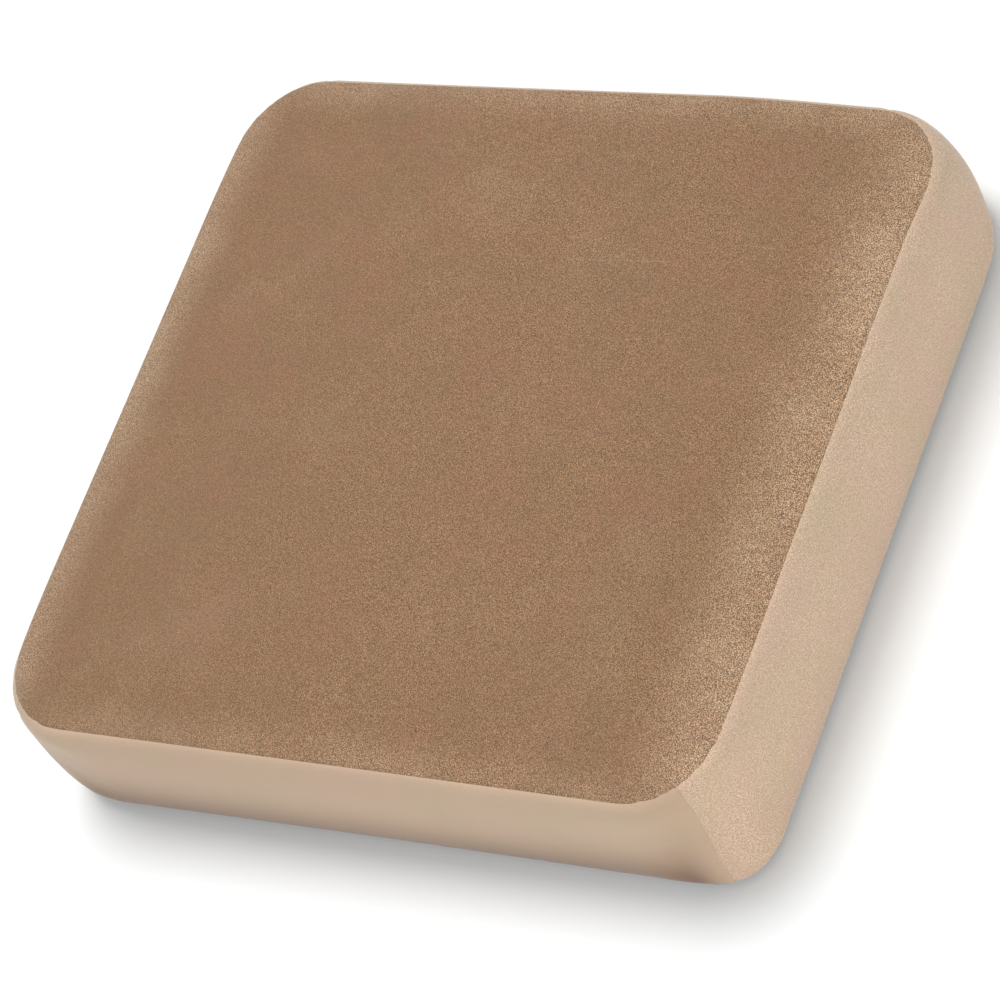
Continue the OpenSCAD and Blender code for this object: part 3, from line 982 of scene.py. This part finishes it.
# %% Build the slider
slider_low, slider_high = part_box("zip_slider")
pull_low, pull_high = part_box("zip_pull")
SLIDER_X = (slider_low.x + slider_high.x) / 2
SLIDER_L = (slider_high.x - slider_low.x) / 2
SLIDER_W = (slider_high.z - slider_low.z) / 2
PLATE_T, CHANNEL, TAIL_W, POST_T, POST_L = 1 * MM, 3.3 * MM, 3.7 * MM, 0.9 * MM, 3.4 * MM
BOW_L, BOW_LEG, BOW_T, BOW_W = 7.6 * MM, 1.2 * MM, 0.9 * MM, 2.0 * MM
INNER_Y = slider_low.y
OUTER_Y = coil_high.y + 0.2 * MM
FLANGE_Y = coil_low.y + 0.2 * MM


def placed(outline):
    """An outline about the slider's middle, moved to where the slider is."""
    return [(SLIDER_X + x, ZIP_Z + z) for x, z in outline]


shoulder = [(-SLIDER_L, TAIL_W - 0.5 * MM), (-SLIDER_L + 0.5 * MM, TAIL_W), (-0.6 * MM, TAIL_W),
            (0.6 * MM, TAIL_W + 0.12 * MM), (2.4 * MM, SLIDER_W - 0.12 * MM), (3.2 * MM, SLIDER_W),
            (4.9 * MM, SLIDER_W), (5.6 * MM, SLIDER_W - 0.4 * MM), (SLIDER_L, SLIDER_W - 1.1 * MM)]
plate_outline = shoulder + mirrored_z(shoulder)[::-1]
flange_outline = shoulder + [(SLIDER_L - 0.1 * MM, CHANNEL), (-SLIDER_L, CHANNEL)]
post_outline = [(SLIDER_L - POST_L, 0.12 * MM), (SLIDER_L - POST_L + 0.5 * MM, POST_T / 2),
                (SLIDER_L - 0.4 * MM, POST_T / 2), (SLIDER_L, POST_T / 4)]
post_outline += mirrored_z(post_outline)[::-1]
top_plate = cut_plate("slider_top", placed(plate_outline), OUTER_Y, OUTER_Y + PLATE_T, 0.3 * MM, 3)
under_plate = cut_plate("slider_under", placed(plate_outline), INNER_Y, INNER_Y + PLATE_T, 0.3 * MM, 3)
post = cut_plate("slider_post", placed(post_outline), INNER_Y + 0.4 * MM, OUTER_Y + 0.5 * MM,
                 0.08 * MM, 1)
flanges = [cut_plate("slider_flange", placed(side(flange_outline)), FLANGE_Y, OUTER_Y + 0.3 * MM,
                     0.15 * MM, 2) for side in (list, mirrored_z)]
BOW_TOP = slider_high.y
BOW_FOOT = OUTER_Y + 0.4 * MM
round_x = BOW_L / 2 - BOW_T
bow_outer = ([(-BOW_L / 2, BOW_FOOT)] + arc(-round_x, BOW_TOP - BOW_T, BOW_T, 180, 90)
             + arc(round_x, BOW_TOP - BOW_T, BOW_T, 90, 0) + [(BOW_L / 2, BOW_FOOT)])
CURL = 0.4 * MM
inner_x = BOW_L / 2 - BOW_LEG
bow_inner = ([(inner_x, BOW_FOOT)] + arc(inner_x - CURL, BOW_TOP - BOW_T - CURL, CURL, 0, 90, 3)
             + arc(CURL - inner_x, BOW_TOP - BOW_T - CURL, CURL, 90, 180, 3) + [(-inner_x, BOW_FOOT)])
bow = cut_plate("slider_bow", [(SLIDER_X + x, y) for x, y in bow_outer + bow_inner], ZIP_Z - BOW_W / 2,
                ZIP_Z + BOW_W / 2, 0.25 * MM, 2, upright=True)
slider = smooth(join("cast_slider", [top_plate, under_plate, post, *flanges, bow]), 40)
print(slider.name, len(slider.data.polygons), "faces")

# %% Build the pull
PIN_Y = (pull_low.y + pull_high.y) / 2
PULL_T = pull_high.y - pull_low.y
PULL_W = (pull_high.z - pull_low.z) / 2
PIN_X = pull_high.x - PULL_T / 2
WINDOW_W, ARM_W, WINDOW_L = 1.3 * MM, 1.5 * MM, 5.2 * MM
TIP_X = pull_low.x - PIN_X + PULL_W
tab_side = [(-WINDOW_L, WINDOW_W + ARM_W), (-WINDOW_L - 1.4 * MM, WINDOW_W + ARM_W + 0.06 * MM),
            (-WINDOW_L - 4 * MM, PULL_W - 0.42 * MM), (-WINDOW_L - 6 * MM, PULL_W - 0.3 * MM)]
pull_outline = tab_side + arc(TIP_X, 0, PULL_W, 90, 270, 14) + mirrored_z(tab_side)[::-1]
tab = cut_plate("pull_tab", [(PIN_X + x, ZIP_Z + z) for x, z in pull_outline], PIN_Y - PULL_T / 2,
                PIN_Y + PULL_T / 2, 0.25 * MM, 3)
for out in (-1, 1):
    pick_faces(tab, (face_centres(tab)[:, 1] - PIN_Y) * out > PULL_T / 2 - TINY)
    bpy.ops.mesh.inset(thickness=0.7 * MM)
    bpy.ops.mesh.inset(thickness=0.18 * MM)
    bpy.ops.transform.translate(value=(0, -0.22 * MM * out, 0))
    leave_edit()
arms = []
for z in (WINDOW_W, -WINDOW_W - ARM_W):
    ends = arc(0, 0, PULL_T / 2, 90, -90, 6)
    side_view = ([(-WINDOW_L - 0.6 * MM, PULL_T / 2)] + ends + [(-WINDOW_L - 0.6 * MM, -PULL_T / 2)])
    arms.append(cut_plate("pull_arm", [(PIN_X + x, PIN_Y + y) for x, y in side_view], ZIP_Z + z,
                          ZIP_Z + z + ARM_W, 0.2 * MM, 2, upright=True))
clear_selection()
bpy.ops.mesh.primitive_cylinder_add(vertices=20, radius=PULL_T / 2 - 0.02 * MM,
                                    depth=2 * WINDOW_W + ARM_W, location=(PIN_X, PIN_Y, ZIP_Z))
pin = place_in_mesh()
round_edges(pin, lambda a, b: abs(a.z - b.z) < TINY, 0.12 * MM, 2)
pull = smooth(join("cut_pull", [tab, *arms, pin]), 40)
print(pull.name, len(pull.data.polygons), "faces")

# %% [markdown]
# ## Finishes
# Velvet is a cloth of short upright fibres. Where the fibres lean towards the eye the cloth looks deep,
# and where they lean away it looks pale and silvery, so brushed places and edges show as lighter frost.
# A fine grain, soft patches and a sheen on the shader give that. Near the top's edges the frost is also
# painted into the colour, partly as brushed nap and partly as painted sheen where the top curves down.
# The bands are painted paler than the top, partly for nap running another way and partly as painted
# sheen, and painted shade darkens the front band towards its foot. How much of each a point has is
# worked out from its distance to the top's edges, or its height on a band, and kept in the mesh as an
# attribute.

# %% Measure the nap, the painted sheen and the painted shade of the velvet
def write_value(obj, name, values):
    layer = obj.data.attributes.new(name, "FLOAT", "POINT")
    layer.data.foreach_set("value", np.clip(values, 0, 1).astype(np.float32))


def edge_frost_and_sheen(distance, width):
    return 1 - blend_in(distance, 3 * MM, width)


# How wide the frost, brushed nap with painted sheen, is along each side of the top, and how strong.
FROST_AND_SHEEN = {"left": (38 * MM, 0.95), "right": (54 * MM, 0.9),
         "front": (28 * MM, 0.38), "back": (34 * MM, 0.6)}
GRAIN = {"top_panel": 1.0, "right_band": 0.42, "front_band": 0.04}
OTHER_GRAIN = 0.36
# Darkening of the front band near its right corner, and the heights of the painted shade at the foot.
CORNER_DARKENING = 0.12
FOOT_SHADE_LOW, FOOT_SHADE_HIGH = -5 * MM, 70 * MM
WORN_LEFT, WORN_RIGHT = -160 * MM, 20 * MM
for panel, obj in cover.items():
    co = points_of(obj)
    if panel == "top_panel":
        # The top: pale frost along each edge, partly brushed nap, partly painted sheen where it curves
        # down.
        inside = {"left": HALF_W + co[:, 0], "right": HALF_W - co[:, 0],
                  "front": HALF_D + co[:, 1], "back": HALF_D - co[:, 1]}
        nap_and_painted_light = np.zeros(len(co))
        for edge, (width, weight) in FROST_AND_SHEEN.items():
            nap_and_painted_light = np.maximum(nap_and_painted_light, weight * edge_frost_and_sheen(inside[edge], width))
    else:
        # The bands: painted shade, darker towards the foot where the cloth turns under, on the front band
        # only.
        nap_and_painted_light = (1 - blend_in(co[:, 2], FOOT_SHADE_LOW, FOOT_SHADE_HIGH)) ** 1.5
        nap_and_painted_light *= 1 - blend_in(past_front_corner(co), -24 * MM, 2 * MM)
        # The front band also gets darker towards its right corner.
        if panel == "front_band":
            nap_and_painted_light += CORNER_DARKENING * blend_in(past_front_corner(co), -40 * MM, -6 * MM) * (co[:, 0] > 0)
    write_value(obj, "nap_and_painted_light", nap_and_painted_light)
    worn = 0.6 + 0.4 * blend_in(co[:, 0], WORN_LEFT, WORN_RIGHT) if panel == "top_panel" else 1
    write_value(obj, "grain", worn * np.full(len(co), GRAIN.get(panel, OTHER_GRAIN)))
    print(obj.name, "mean nap", round(float(nap_and_painted_light.mean()), 3))
for node in ("zip_end_tab_left", "zip_end_tab_right"):
    blank = np.zeros(len(zip_parts[node].data.vertices))
    write_value(zip_parts[node], "nap_and_painted_light", blank)
    write_value(zip_parts[node], "grain", blank + OTHER_GRAIN)

# %% Helpers for materials
def linear(*srgb):
    """A colour as mixed light, from the way that screens write it, 0 to 255."""
    mix = [((c / 255 + 0.055) / 1.055) ** 2.4 if c > 10 else c / 255 / 12.92 for c in srgb]
    return (*mix, 1.0)


def new_finish(name, colour, rough, metallic=0.0):
    """A material with its shader, and the place of each point in metres to draw patterns with."""
    material = bpy.data.materials.new(name)
    material.use_nodes = True
    tree = material.node_tree
    shader = tree.nodes["Principled BSDF"]
    shader.inputs["Base Color"].default_value = colour
    shader.inputs["Roughness"].default_value = rough
    shader.inputs["Metallic"].default_value = metallic
    shader.inputs["Specular IOR Level"].default_value = 0.2 if metallic == 0 else 0.5
    return material, tree, shader, tree.nodes.new("ShaderNodeTexCoord").outputs["Object"]


def stretch(tree, place, scale, turn=(0, 0, 0)):
    node = tree.nodes.new("ShaderNodeMapping")
    node.inputs["Scale"].default_value = scale
    node.inputs["Rotation"].default_value = turn
    tree.links.new(place, node.inputs["Vector"])
    return node.outputs["Vector"]


def noise(tree, place, scale, detail=2.0, rough=0.5):
    node = tree.nodes.new("ShaderNodeTexNoise")
    node.inputs["Scale"].default_value = scale
    node.inputs["Detail"].default_value = detail
    node.inputs["Roughness"].default_value = rough
    tree.links.new(place, node.inputs["Vector"])
    return node.outputs["Fac"]


def span(tree, value, low, high, out_low=0.0, out_high=1.0, soft=False):
    """Spreads a range of values over another range."""
    node = tree.nodes.new("ShaderNodeMapRange")
    node.interpolation_type = "SMOOTHSTEP" if soft else "LINEAR"
    for socket, number in zip(("From Min", "From Max", "To Min", "To Max"), (low, high, out_low, out_high)):
        node.inputs[socket].default_value = number
    tree.links.new(value, node.inputs["Value"])
    return node.outputs["Result"]


def maths(tree, kind, a, b):
    node = tree.nodes.new("ShaderNodeMath")
    node.operation = kind
    for socket, value in zip(node.inputs, (a, b)):
        if isinstance(value, (int, float)):
            socket.default_value = value
        else:
            tree.links.new(value, socket)
    return node.outputs["Value"]


def add(tree, a, b):
    return maths(tree, "ADD", a, b)


def less(tree, a, b):
    return maths(tree, "SUBTRACT", a, b)


def times(tree, a, b):
    return maths(tree, "MULTIPLY", a, b)


def mixed(tree, share, a, b, kind="MIX"):
    """One colour over another, by a share from 0 to 1."""
    node = tree.nodes.new("ShaderNodeMix")
    node.data_type, node.blend_type = "RGBA", kind
    sockets = {"Factor": node.inputs[0], "A": node.inputs[6], "B": node.inputs[7]}
    for key, value in (("Factor", share), ("A", a), ("B", b)):
        if isinstance(value, (int, float, tuple)):
            sockets[key].default_value = value
        else:
            tree.links.new(value, sockets[key])
    return node.outputs[2]


def raise_surface(tree, shader, height, depth, strength=1.0):
    node = tree.nodes.new("ShaderNodeBump")
    node.inputs["Distance"].default_value = depth
    node.inputs["Strength"].default_value = strength
    tree.links.new(height, node.inputs["Height"])
    tree.links.new(node.outputs["Normal"], shader.inputs["Normal"])


def attribute(tree, name):
    node = tree.nodes.new("ShaderNodeAttribute")
    node.attribute_name = name
    return node.outputs["Fac"]


def split(tree, place):
    node = tree.nodes.new("ShaderNodeSeparateXYZ")
    tree.links.new(place, node.inputs["Vector"])
    return node.outputs


# %% The velvet of the top
PILE_SCALE = 1900
PILE_CONTRAST = 6.4
PATCH_SCALE = 20
TILT = (0.61, 0.37, 0.83)  # turns the noise off the axes, so that its cells draw no rings on the crown
CREASE_FADE, CREASE_HALF, CREASE_WANDER = 8 * MM, 0.45 * MM, 1.2 * MM


def creased(tree, place, x0, x1, y0, slope):
    """A thin crease line between two places on X, where it shows, else 0."""
    x, y, _ = split(tree, place)
    wander = span(tree, noise(tree, place, 90, 2), 0, 1, -CREASE_WANDER, CREASE_WANDER)
    off = less(tree, less(tree, less(tree, y, y0), wander), times(tree, less(tree, x, x0), slope))
    line = span(tree, maths(tree, "ABSOLUTE", off, 0.0), 0.1 * MM, CREASE_HALF, 1, 0, soft=True)
    fade_in = span(tree, x, x0, x0 + CREASE_FADE, soft=True)
    fade_out = span(tree, x, x1 - CREASE_FADE, x1, 1, 0, soft=True)
    return times(tree, line, times(tree, fade_in, fade_out))


# Each crease: where it starts and ends on X, its place on Y, and its slope.
CREASES = ((0.026, 0.098, 0.0895, 0.03), (-0.150, -0.112, 0.149, 0.10), (0.128, 0.160, 0.104, -0.04))


def paint(tree, shader, share, first, second):
    """Gives the shader one colour where the share is 0 and another where it is 1."""
    tree.links.new(mixed(tree, share, first, second), shader.inputs["Base Color"])


def new_velvet(name, deep, warm, olive, nap_and_painted_light_colour, sheen, scuffed=0.0, lines=()):
    """Velvet, from its deep colour to a second colour: on the top, pale frost of nap brushed the other way
    and painted sheen; on the bands, painted shade at the foot.
    """
    material, tree, shader, place = new_finish(name, deep, 0.85)
    shader.inputs["Sheen Weight"].default_value = sheen
    shader.inputs["Sheen Roughness"].default_value = 0.42
    shader.inputs["Sheen Tint"].default_value = (1.0, 0.95, 0.88, 1.0)
    turned = stretch(tree, place, (1, 1, 1), TILT)
    pile = less(tree, noise(tree, turned, PILE_SCALE, 2, 0.7), 0.5)
    fleck = noise(tree, turned, PILE_SCALE * 0.36, 4, 0.75)
    streak = noise(tree, stretch(tree, place, (0.14, 1, 1), TILT), 460, 3, 0.6)
    patches = noise(tree, place, PATCH_SCALE, 3, 0.6)
    hue = noise(tree, stretch(tree, place, (1, 1, 1), (0.3, 0.5, 0.7)), PATCH_SCALE * 1.4, 3, 0.5)
    nap_and_painted_light, grain = attribute(tree, "nap_and_painted_light"), attribute(tree, "grain")
    tone = mixed(tree, span(tree, hue, 0.35, 0.65, soft=True), warm, olive)
    tone = mixed(tree, span(tree, patches, 0.3, 0.7), tone, deep)
    lively = add(tree, span(tree, patches, 0.4, 0.62, 0.85, 1.15, soft=True), nap_and_painted_light)
    drift = span(tree, noise(tree, place, 26, 2), 0.35, 0.65, -0.35, 0.15)
    brushing = add(tree, drift, span(tree, streak, 0.3, 0.7, -0.3, 0.3))
    brushing = add(tree, brushing, span(tree, fleck, 0.3, 0.7, -0.25, 0.25))
    # Share of the second colour: frost and painted sheen on the top, painted shade on the bands, plus
    # scuffs and creases.
    reach = times(tree, nap_and_painted_light, add(tree, times(tree, brushing, grain), 1.0))
    scuffs = span(tree, noise(tree, place, 13, 4, 0.65), 0.5, 0.75, 0, scuffed, soft=True)
    reach = add(tree, reach, scuffs)
    for line in lines:
        reach = add(tree, reach, times(tree, creased(tree, place, *line), 0.45))
    colour = mixed(tree, span(tree, reach, 0, 1), tone, nap_and_painted_light_colour)
    lift = times(tree, pile, times(tree, lively, PILE_CONTRAST))
    lift = add(tree, lift, times(tree, less(tree, fleck, 0.5), 0.55))
    lift = add(tree, times(tree, lift, grain), times(tree, less(tree, patches, 0.5), 0.12))
    tips = times(tree, maths(tree, "MAXIMUM", lift, 0.0), 0.55)
    shade = add(tree, span(tree, lift, -0.8, 0.8, 0.5, 1.54), tips)
    grey = tree.nodes.new("ShaderNodeCombineColor")
    for socket in grey.inputs[:3]:
        tree.links.new(shade, socket)
    shaded = mixed(tree, 1.0, colour, grey.outputs["Color"], "MULTIPLY")
    tree.links.new(shaded, shader.inputs["Base Color"])
    raise_surface(tree, shader, add(tree, pile, fleck), 0.12 * MM, 0.6)
    return material


# One velvet for the top and the bands. The bands' paler colours are partly nap running another way and
# partly painted sheen; their last colour, dark brown, is painted shade at the foot.
velvet_top = new_velvet("velvet_top", linear(127, 97, 71), linear(133, 98, 74), linear(128, 99, 73),
                        linear(150, 123, 98), 0.25, 0.24, CREASES)
velvet_band = new_velvet("velvet_band", linear(190, 163, 138), linear(194, 163, 141),
                         linear(188, 164, 137), linear(98, 60, 34), 0.3)
print("velvet:", velvet_top.name, len(velvet_top.node_tree.nodes), "nodes,", velvet_band.name)

# %% [markdown]
# The other cloths are woven or knitted, so their threads run in lines. Two sets of waves at right angles
# make a weave. The foams are full of pores, which rounded cells draw.

# %% The underside, the threads and the zip
def ribs(tree, place, direction, scale, distort=0.0):
    node = tree.nodes.new("ShaderNodeTexWave")
    node.wave_type, node.bands_direction, node.wave_profile = "BANDS", direction, "SIN"
    node.inputs["Scale"].default_value = scale
    node.inputs["Distortion"].default_value = distort
    node.inputs["Detail"].default_value = 1.0
    tree.links.new(place, node.inputs["Vector"])
    return node.outputs["Fac"]


def new_weave(name, thread, hollow, across, along, scale, depth):
    """Cloth of two sets of threads, with darker hollows between them."""
    material, tree, shader, place = new_finish(name, thread, 0.8)
    a, b = ribs(tree, place, across, scale, 0.4), ribs(tree, place, along, scale, 0.4)
    height = maths(tree, "MAXIMUM", a, b)
    speckle = noise(tree, place, scale * 3, 2)
    share = add(tree, span(tree, height, 0.2, 0.9), span(tree, speckle, 0.3, 0.7, -0.25, 0.25))
    paint(tree, shader, span(tree, share, 0, 1), hollow, thread)
    raise_surface(tree, shader, height, depth)
    return material


def new_thread(name, colour, dark):
    """Twisted thread, with its strands slanting."""
    material, tree, shader, place = new_finish(name, colour, 0.55)
    strands = ribs(tree, stretch(tree, place, (1, 1, 1), (0.4, 0.5, 0.6)), "DIAGONAL", 900, 0.6)
    fluff = noise(tree, place, 2200, 2)
    share = add(tree, times(tree, strands, 0.6), times(tree, fluff, 0.5))
    paint(tree, shader, span(tree, share, 0.2, 0.9), dark, colour)
    raise_surface(tree, shader, strands, 0.06 * MM)
    return material


underside_cloth = new_weave("underside_cloth", linear(92, 79, 66), linear(52, 44, 36),
                            "X", "Y", 260, 0.2 * MM)
zip_tape = new_weave("zip_tape", linear(148, 120, 94), linear(112, 88, 68),
                     "DIAGONAL", "X", 420, 0.12 * MM)
sewing_thread = new_thread("sewing_thread", linear(156, 126, 98), linear(120, 92, 70))
liner_thread = new_thread("liner_thread", linear(228, 228, 222), linear(196, 196, 190))
liner_knit = new_weave("liner_knit", linear(238, 238, 232), linear(206, 206, 200),
                       "X", "Z", 330, 0.15 * MM)

# A brown stripe of painted shade is put on the liner behind the zip, so that the slit between the
# coils reads dark, as a deep narrow gap does, and no white shows there.
ZIP_SHADE_H, ZIP_SHADE_Y = 9 * MM, 150 * MM
tree = liner_knit.node_tree
colour_in = tree.nodes["Principled BSDF"].inputs["Base Color"]
knit_colour = colour_in.links[0].from_socket
_, y, z = split(tree, tree.nodes.new("ShaderNodeTexCoord").outputs["Object"])
from_zip = maths(tree, "ABSOLUTE", less(tree, z, ZIP_Z), 0.0)
# The painted shade: a stripe along the zip, on the back of the liner.
facing = times(tree, span(tree, from_zip, ZIP_SHADE_H, ZIP_SHADE_H + 0.5 * MM, 1, 0),
               span(tree, y, ZIP_SHADE_Y, ZIP_SHADE_Y + 1 * MM))
tree.links.new(mixed(tree, facing, knit_colour, linear(92, 72, 56)), colour_in)

zip_coil, tree, shader, place = new_finish("zip_coil", linear(134, 104, 80), 0.38)
shader.inputs["Specular IOR Level"].default_value = 0.5
haze = noise(tree, place, 300, 3)
paint(tree, shader, span(tree, haze, 0.3, 0.7), linear(122, 94, 72), linear(146, 114, 88))
wear = noise(tree, place, 900, 2)
tree.links.new(span(tree, wear, 0.3, 0.7, 0.3, 0.46), shader.inputs["Roughness"])

zip_metal, tree, shader, place = new_finish("zip_metal", linear(150, 120, 78), 0.34, 1.0)
smudge = noise(tree, place, 420, 4, 0.6)
brushing = noise(tree, stretch(tree, place, (260, 2600, 2600)), 1, 2)
paint(tree, shader, span(tree, smudge, 0.35, 0.7), linear(164, 132, 88), linear(112, 86, 56))
wear = add(tree, smudge, brushing)
tree.links.new(span(tree, wear, 0.7, 1.3, 0.24, 0.48), shader.inputs["Roughness"])
raise_surface(tree, shader, brushing, 0.015 * MM)

grip_rubber, tree, shader, place = new_finish("grip_rubber", linear(56, 48, 41), 0.5)
dusty = noise(tree, place, 700, 3)
paint(tree, shader, span(tree, dusty, 0.35, 0.75), linear(50, 43, 37), linear(74, 64, 55))
tree.links.new(span(tree, dusty, 0.3, 0.7, 0.42, 0.62), shader.inputs["Roughness"])
print("zip and underside finishes made")

# %% The foams
def new_foam(name, colour, pore, scale, depth):
    """Foam: small round cells, some of them open and darker."""
    material, tree, shader, place = new_finish(name, colour, 0.9)
    cells = tree.nodes.new("ShaderNodeTexVoronoi")
    cells.inputs["Scale"].default_value = scale
    tree.links.new(place, cells.inputs["Vector"])
    open_cell = span(tree, noise(tree, place, scale * 0.7, 2), 0.45, 0.7, 0, 1, soft=True)
    hole = times(tree, span(tree, cells.outputs["Distance"], 0.15, 0.5, 1, 0), open_cell)
    paint(tree, shader, hole, colour, pore)
    raise_surface(tree, shader, cells.outputs["Distance"], depth)
    return material


slow_foam = new_foam("slow_foam", linear(240, 231, 198), linear(206, 190, 150), 900, 0.15 * MM)
firm_foam = new_foam("firm_foam", linear(186, 202, 216), linear(142, 160, 178), 620, 0.25 * MM)
print("foams:", slow_foam.name, firm_foam.name)

# %% [markdown]
# ## Settling
# A sewn cushion is never quite square. Its corners and sides give by a few millimetres, and the cover,
# the sewing and the foam go with them. Each piece could be pushed about in sculpt mode, but then they
# would part. One rule moves the points of all the soft pieces, so they stay together. The zip's stretch
# stays where the CAD model has it, because the slider runs there.

# %% Let the soft pieces settle
# Each row: side on X, side on Y, how far the corner moves outwards at its top and at its foot, how far it
# sinks at its top, how far its rounded part bulges at its top, at half height and at its foot, and how
# much the bulge leans to the side on X. All in millimetres but the last. SIDE_GIVE: side on X, and how
# far its middle moves outwards. SEAM_SLIDE: how far the front right corner's seam turns at its foot.
CORNER_GIVE = ((1, 1, -7.0, -3.0, 8.5, 2.2, 5.4, -3.0, 0), (-1, 1, -1.5, -1.0, 0, 0, 0, 0, 0),
               (-1, -1, -2.0, 2.6, 0, 0, 3.6, 0, 1), (1, -1, -0.5, 2.4, 0, 0, 0.4, 2.8, 3))
SIDE_GIVE = ((-1, 2.2), (1, 1.4))
SEAM_SLIDE = 9.0
LOW_TO_HIGH = (10 * MM, 75 * MM)
NEAR_END_X, NEAR_END_Y = (166 * MM, 212 * MM), (140 * MM, 197 * MM)
SINK_X, SINK_Y = (70 * MM, 212 * MM), (110 * MM, 190 * MM)
STILL_Y, STILL_X, STILL_Z = (150 * MM, 185 * MM), (172 * MM, 192 * MM), (9 * MM, 26 * MM)


def settle(obj):
    co = points_of(obj)
    x, y, z = co.T.copy()
    high = blend_in(z, *LOW_TO_HIGH)
    at_x = blend_in(np.abs(x), *NEAR_END_X)
    at_y = blend_in(np.abs(y), *NEAR_END_Y)
    wide = blend_in(np.abs(x), *SINK_X) * blend_in(np.abs(y), *SINK_Y)
    arm = np.maximum(np.abs(co[:, :2]) - (CORNER_X, CORNER_Y), 0) * np.sign(co[:, :2])
    reach = np.hypot(*arm.T) + 1e-9
    way_out = arm / reach[:, None]
    on_round = np.minimum(reach / CORNER_R, 1) * (2 * way_out[:, 0] * way_out[:, 1]) ** 2
    halfway = 1 - np.clip(np.abs(2 * z / PAD_H - 1), 0, 1) ** 2
    move = np.zeros_like(co)
    for side_x, side_y, top, foot, sink, round_top, round_middle, round_foot, lean in CORNER_GIVE:
        here = (x * side_x > 0) * (y * side_y > 0) * MM
        share = at_x * at_y * here * (foot + (top - foot) * high) / math.sqrt(2)
        bulge = on_round * (np.abs(way_out[:, 0]) * math.sqrt(2)) ** lean * here
        bulge *= round_foot + (round_top - round_foot) * high + round_middle * halfway
        move[:, 0] += side_x * share + way_out[:, 0] * bulge
        move[:, 1] += side_y * share + way_out[:, 1] * bulge
        move[:, 2] -= wide * here * sink * high
    for side, out in SIDE_GIVE:
        middle = 1 - blend_in(np.abs(y), 110 * MM, 196 * MM)
        move[:, 0] += side * (MM * out) * at_x * (x * side > 0) * middle
    slide = SEAM_SLIDE * MM * on_round * (x > 0) * (y < 0) * (1 - blend_in(z, 5 * MM, 80 * MM))
    move[:, 0] += way_out[:, 1] * slide
    move[:, 1] -= way_out[:, 0] * slide
    by_the_zip = blend_in(y, *STILL_Y) * (1 - blend_in(np.abs(x), *STILL_X))
    by_the_zip *= 1 - blend_in(np.abs(z - ZIP_Z), *STILL_Z)
    set_points(obj, co + move * (1 - by_the_zip)[:, None])


for obj in [*cover.values(), *liner_parts.values(), *foam_parts.values(), *seams.values(), grip_dots]:
    settle(obj)
print("settled", len(cover) + len(liner_parts) + len(foam_parts) + len(seams) + 1, "pieces")

# %% [markdown]
# ## Which body each piece rides on
# The cover, the foam and the zip's tapes are one body. The slider moves along the chain, and the pull
# turns on the slider's bow. Every soft piece takes the place of the plain CAD solid that stood for it.

# %% Put every piece on its body, with its finish
BAND_PANELS = ("front_band", "right_band", "left_band", "zip_strip_upper", "zip_strip_lower")
finished = []


def fit(obj, body, material, slot_name, *nodes, fill=None):
    """Gives a piece its finish and its body, and hides the CAD nodes that it stands for."""
    obj.data.materials.clear()
    obj.data.materials.append(material)
    obj.data.polygons.foreach_set("material_index", np.zeros(len(obj.data.polygons), np.int32))
    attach(obj, body)
    if nodes:
        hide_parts(*nodes)
    finished.append(obj)


fit(cover["top_panel"], "pad", velvet_top, "velvet_top", "top_panel", fill=0.85)
for panel in BAND_PANELS:
    fit(cover[panel], "pad", velvet_band, "velvet_band", panel, fill=0.85)
fit(cover["bottom_panel"], "pad", underside_cloth, "underside_cloth", "bottom_panel", fill=0.95)
fit(grip_dots, "pad", grip_rubber, "underside_cloth")
for node, obj in liner_parts.items():
    fit(obj, "pad", liner_knit, "liner_knit", node, fill=1.0)
fit(foam_parts["memory_foam_layer"], "pad", slow_foam, "slow_foam", "memory_foam_layer", fill=1.0)
fit(foam_parts["support_foam_layer"], "pad", firm_foam, "firm_foam", "support_foam_layer", fill=1.0)
for node, obj in seams.items():
    if node == "liner_seam_thread":
        fit(obj, "pad", liner_thread, "liner_thread", node)
    else:
        fit(obj, "pad", sewing_thread, "sewing_thread", node)
ZIP_FINISH = {"zip_tape": zip_tape, "zip_coil": zip_coil, "zip_metal": zip_metal,
              "velvet_band": velvet_band}
for node, obj in zip_parts.items():
    slot_name = ("zip_tape" if "tape" in node else "zip_coil" if "coil" in node
                 else "zip_metal" if "stop" in node else "velvet_band")
    fit(obj, "pad", ZIP_FINISH[slot_name], slot_name, node)
fit(slider, "slider", zip_metal, "zip_metal", "zip_slider")
fit(pull, "pull", zip_metal, "zip_metal", "zip_pull")
print(len(finished), "pieces,", sum(len(o.data.polygons) for o in finished), "faces")

# %% [markdown]
# ## Floor and light
# The pad lies on a plain white floor. A large soft lamp above its back left lights the top and lets a
# soft shadow fall to the front and the right, and a broad lamp lower down at the front right, on the
# camera's side, lights the bands.

# %% Add the floor, the lamps and the sky
floor = add_block("floor", (-4, -4, -0.02), (4, 4, 0))
floor_paint, tree, shader, place = new_finish("floor_paint", (0.93, 0.93, 0.92, 1), 0.9)
floor.data.materials.append(floor_paint)


def add_lamp(name, place, size, power, colour=(1, 1, 1)):
    lamp = bpy.data.lights.new(name, "AREA")
    lamp.shape, lamp.size, lamp.energy, lamp.color = "DISK", size, power, colour
    facing_pad = (-Vector(place)).to_track_quat("-Z", "Y").to_matrix().to_4x4()
    add_object(name, lamp).matrix_world = Matrix.Translation(place) @ facing_pad


add_lamp("key lamp", (-0.50, 0.43, 2.25), 1.4, 40)
add_lamp("fill lamp", (1.95, -1.5, 1.35), 1.8, 35.5, (0.98, 0.99, 1.0))
sky = bpy.data.worlds.new("sky")
bpy.context.scene.world = sky
sky.use_nodes = True
glow = sky.node_tree.nodes["Background"]
glow.inputs["Color"].default_value = (0.89, 0.96, 1, 1)
glow.inputs["Strength"].default_value = 0.45
bpy.context.scene.view_settings.view_transform = "Standard"
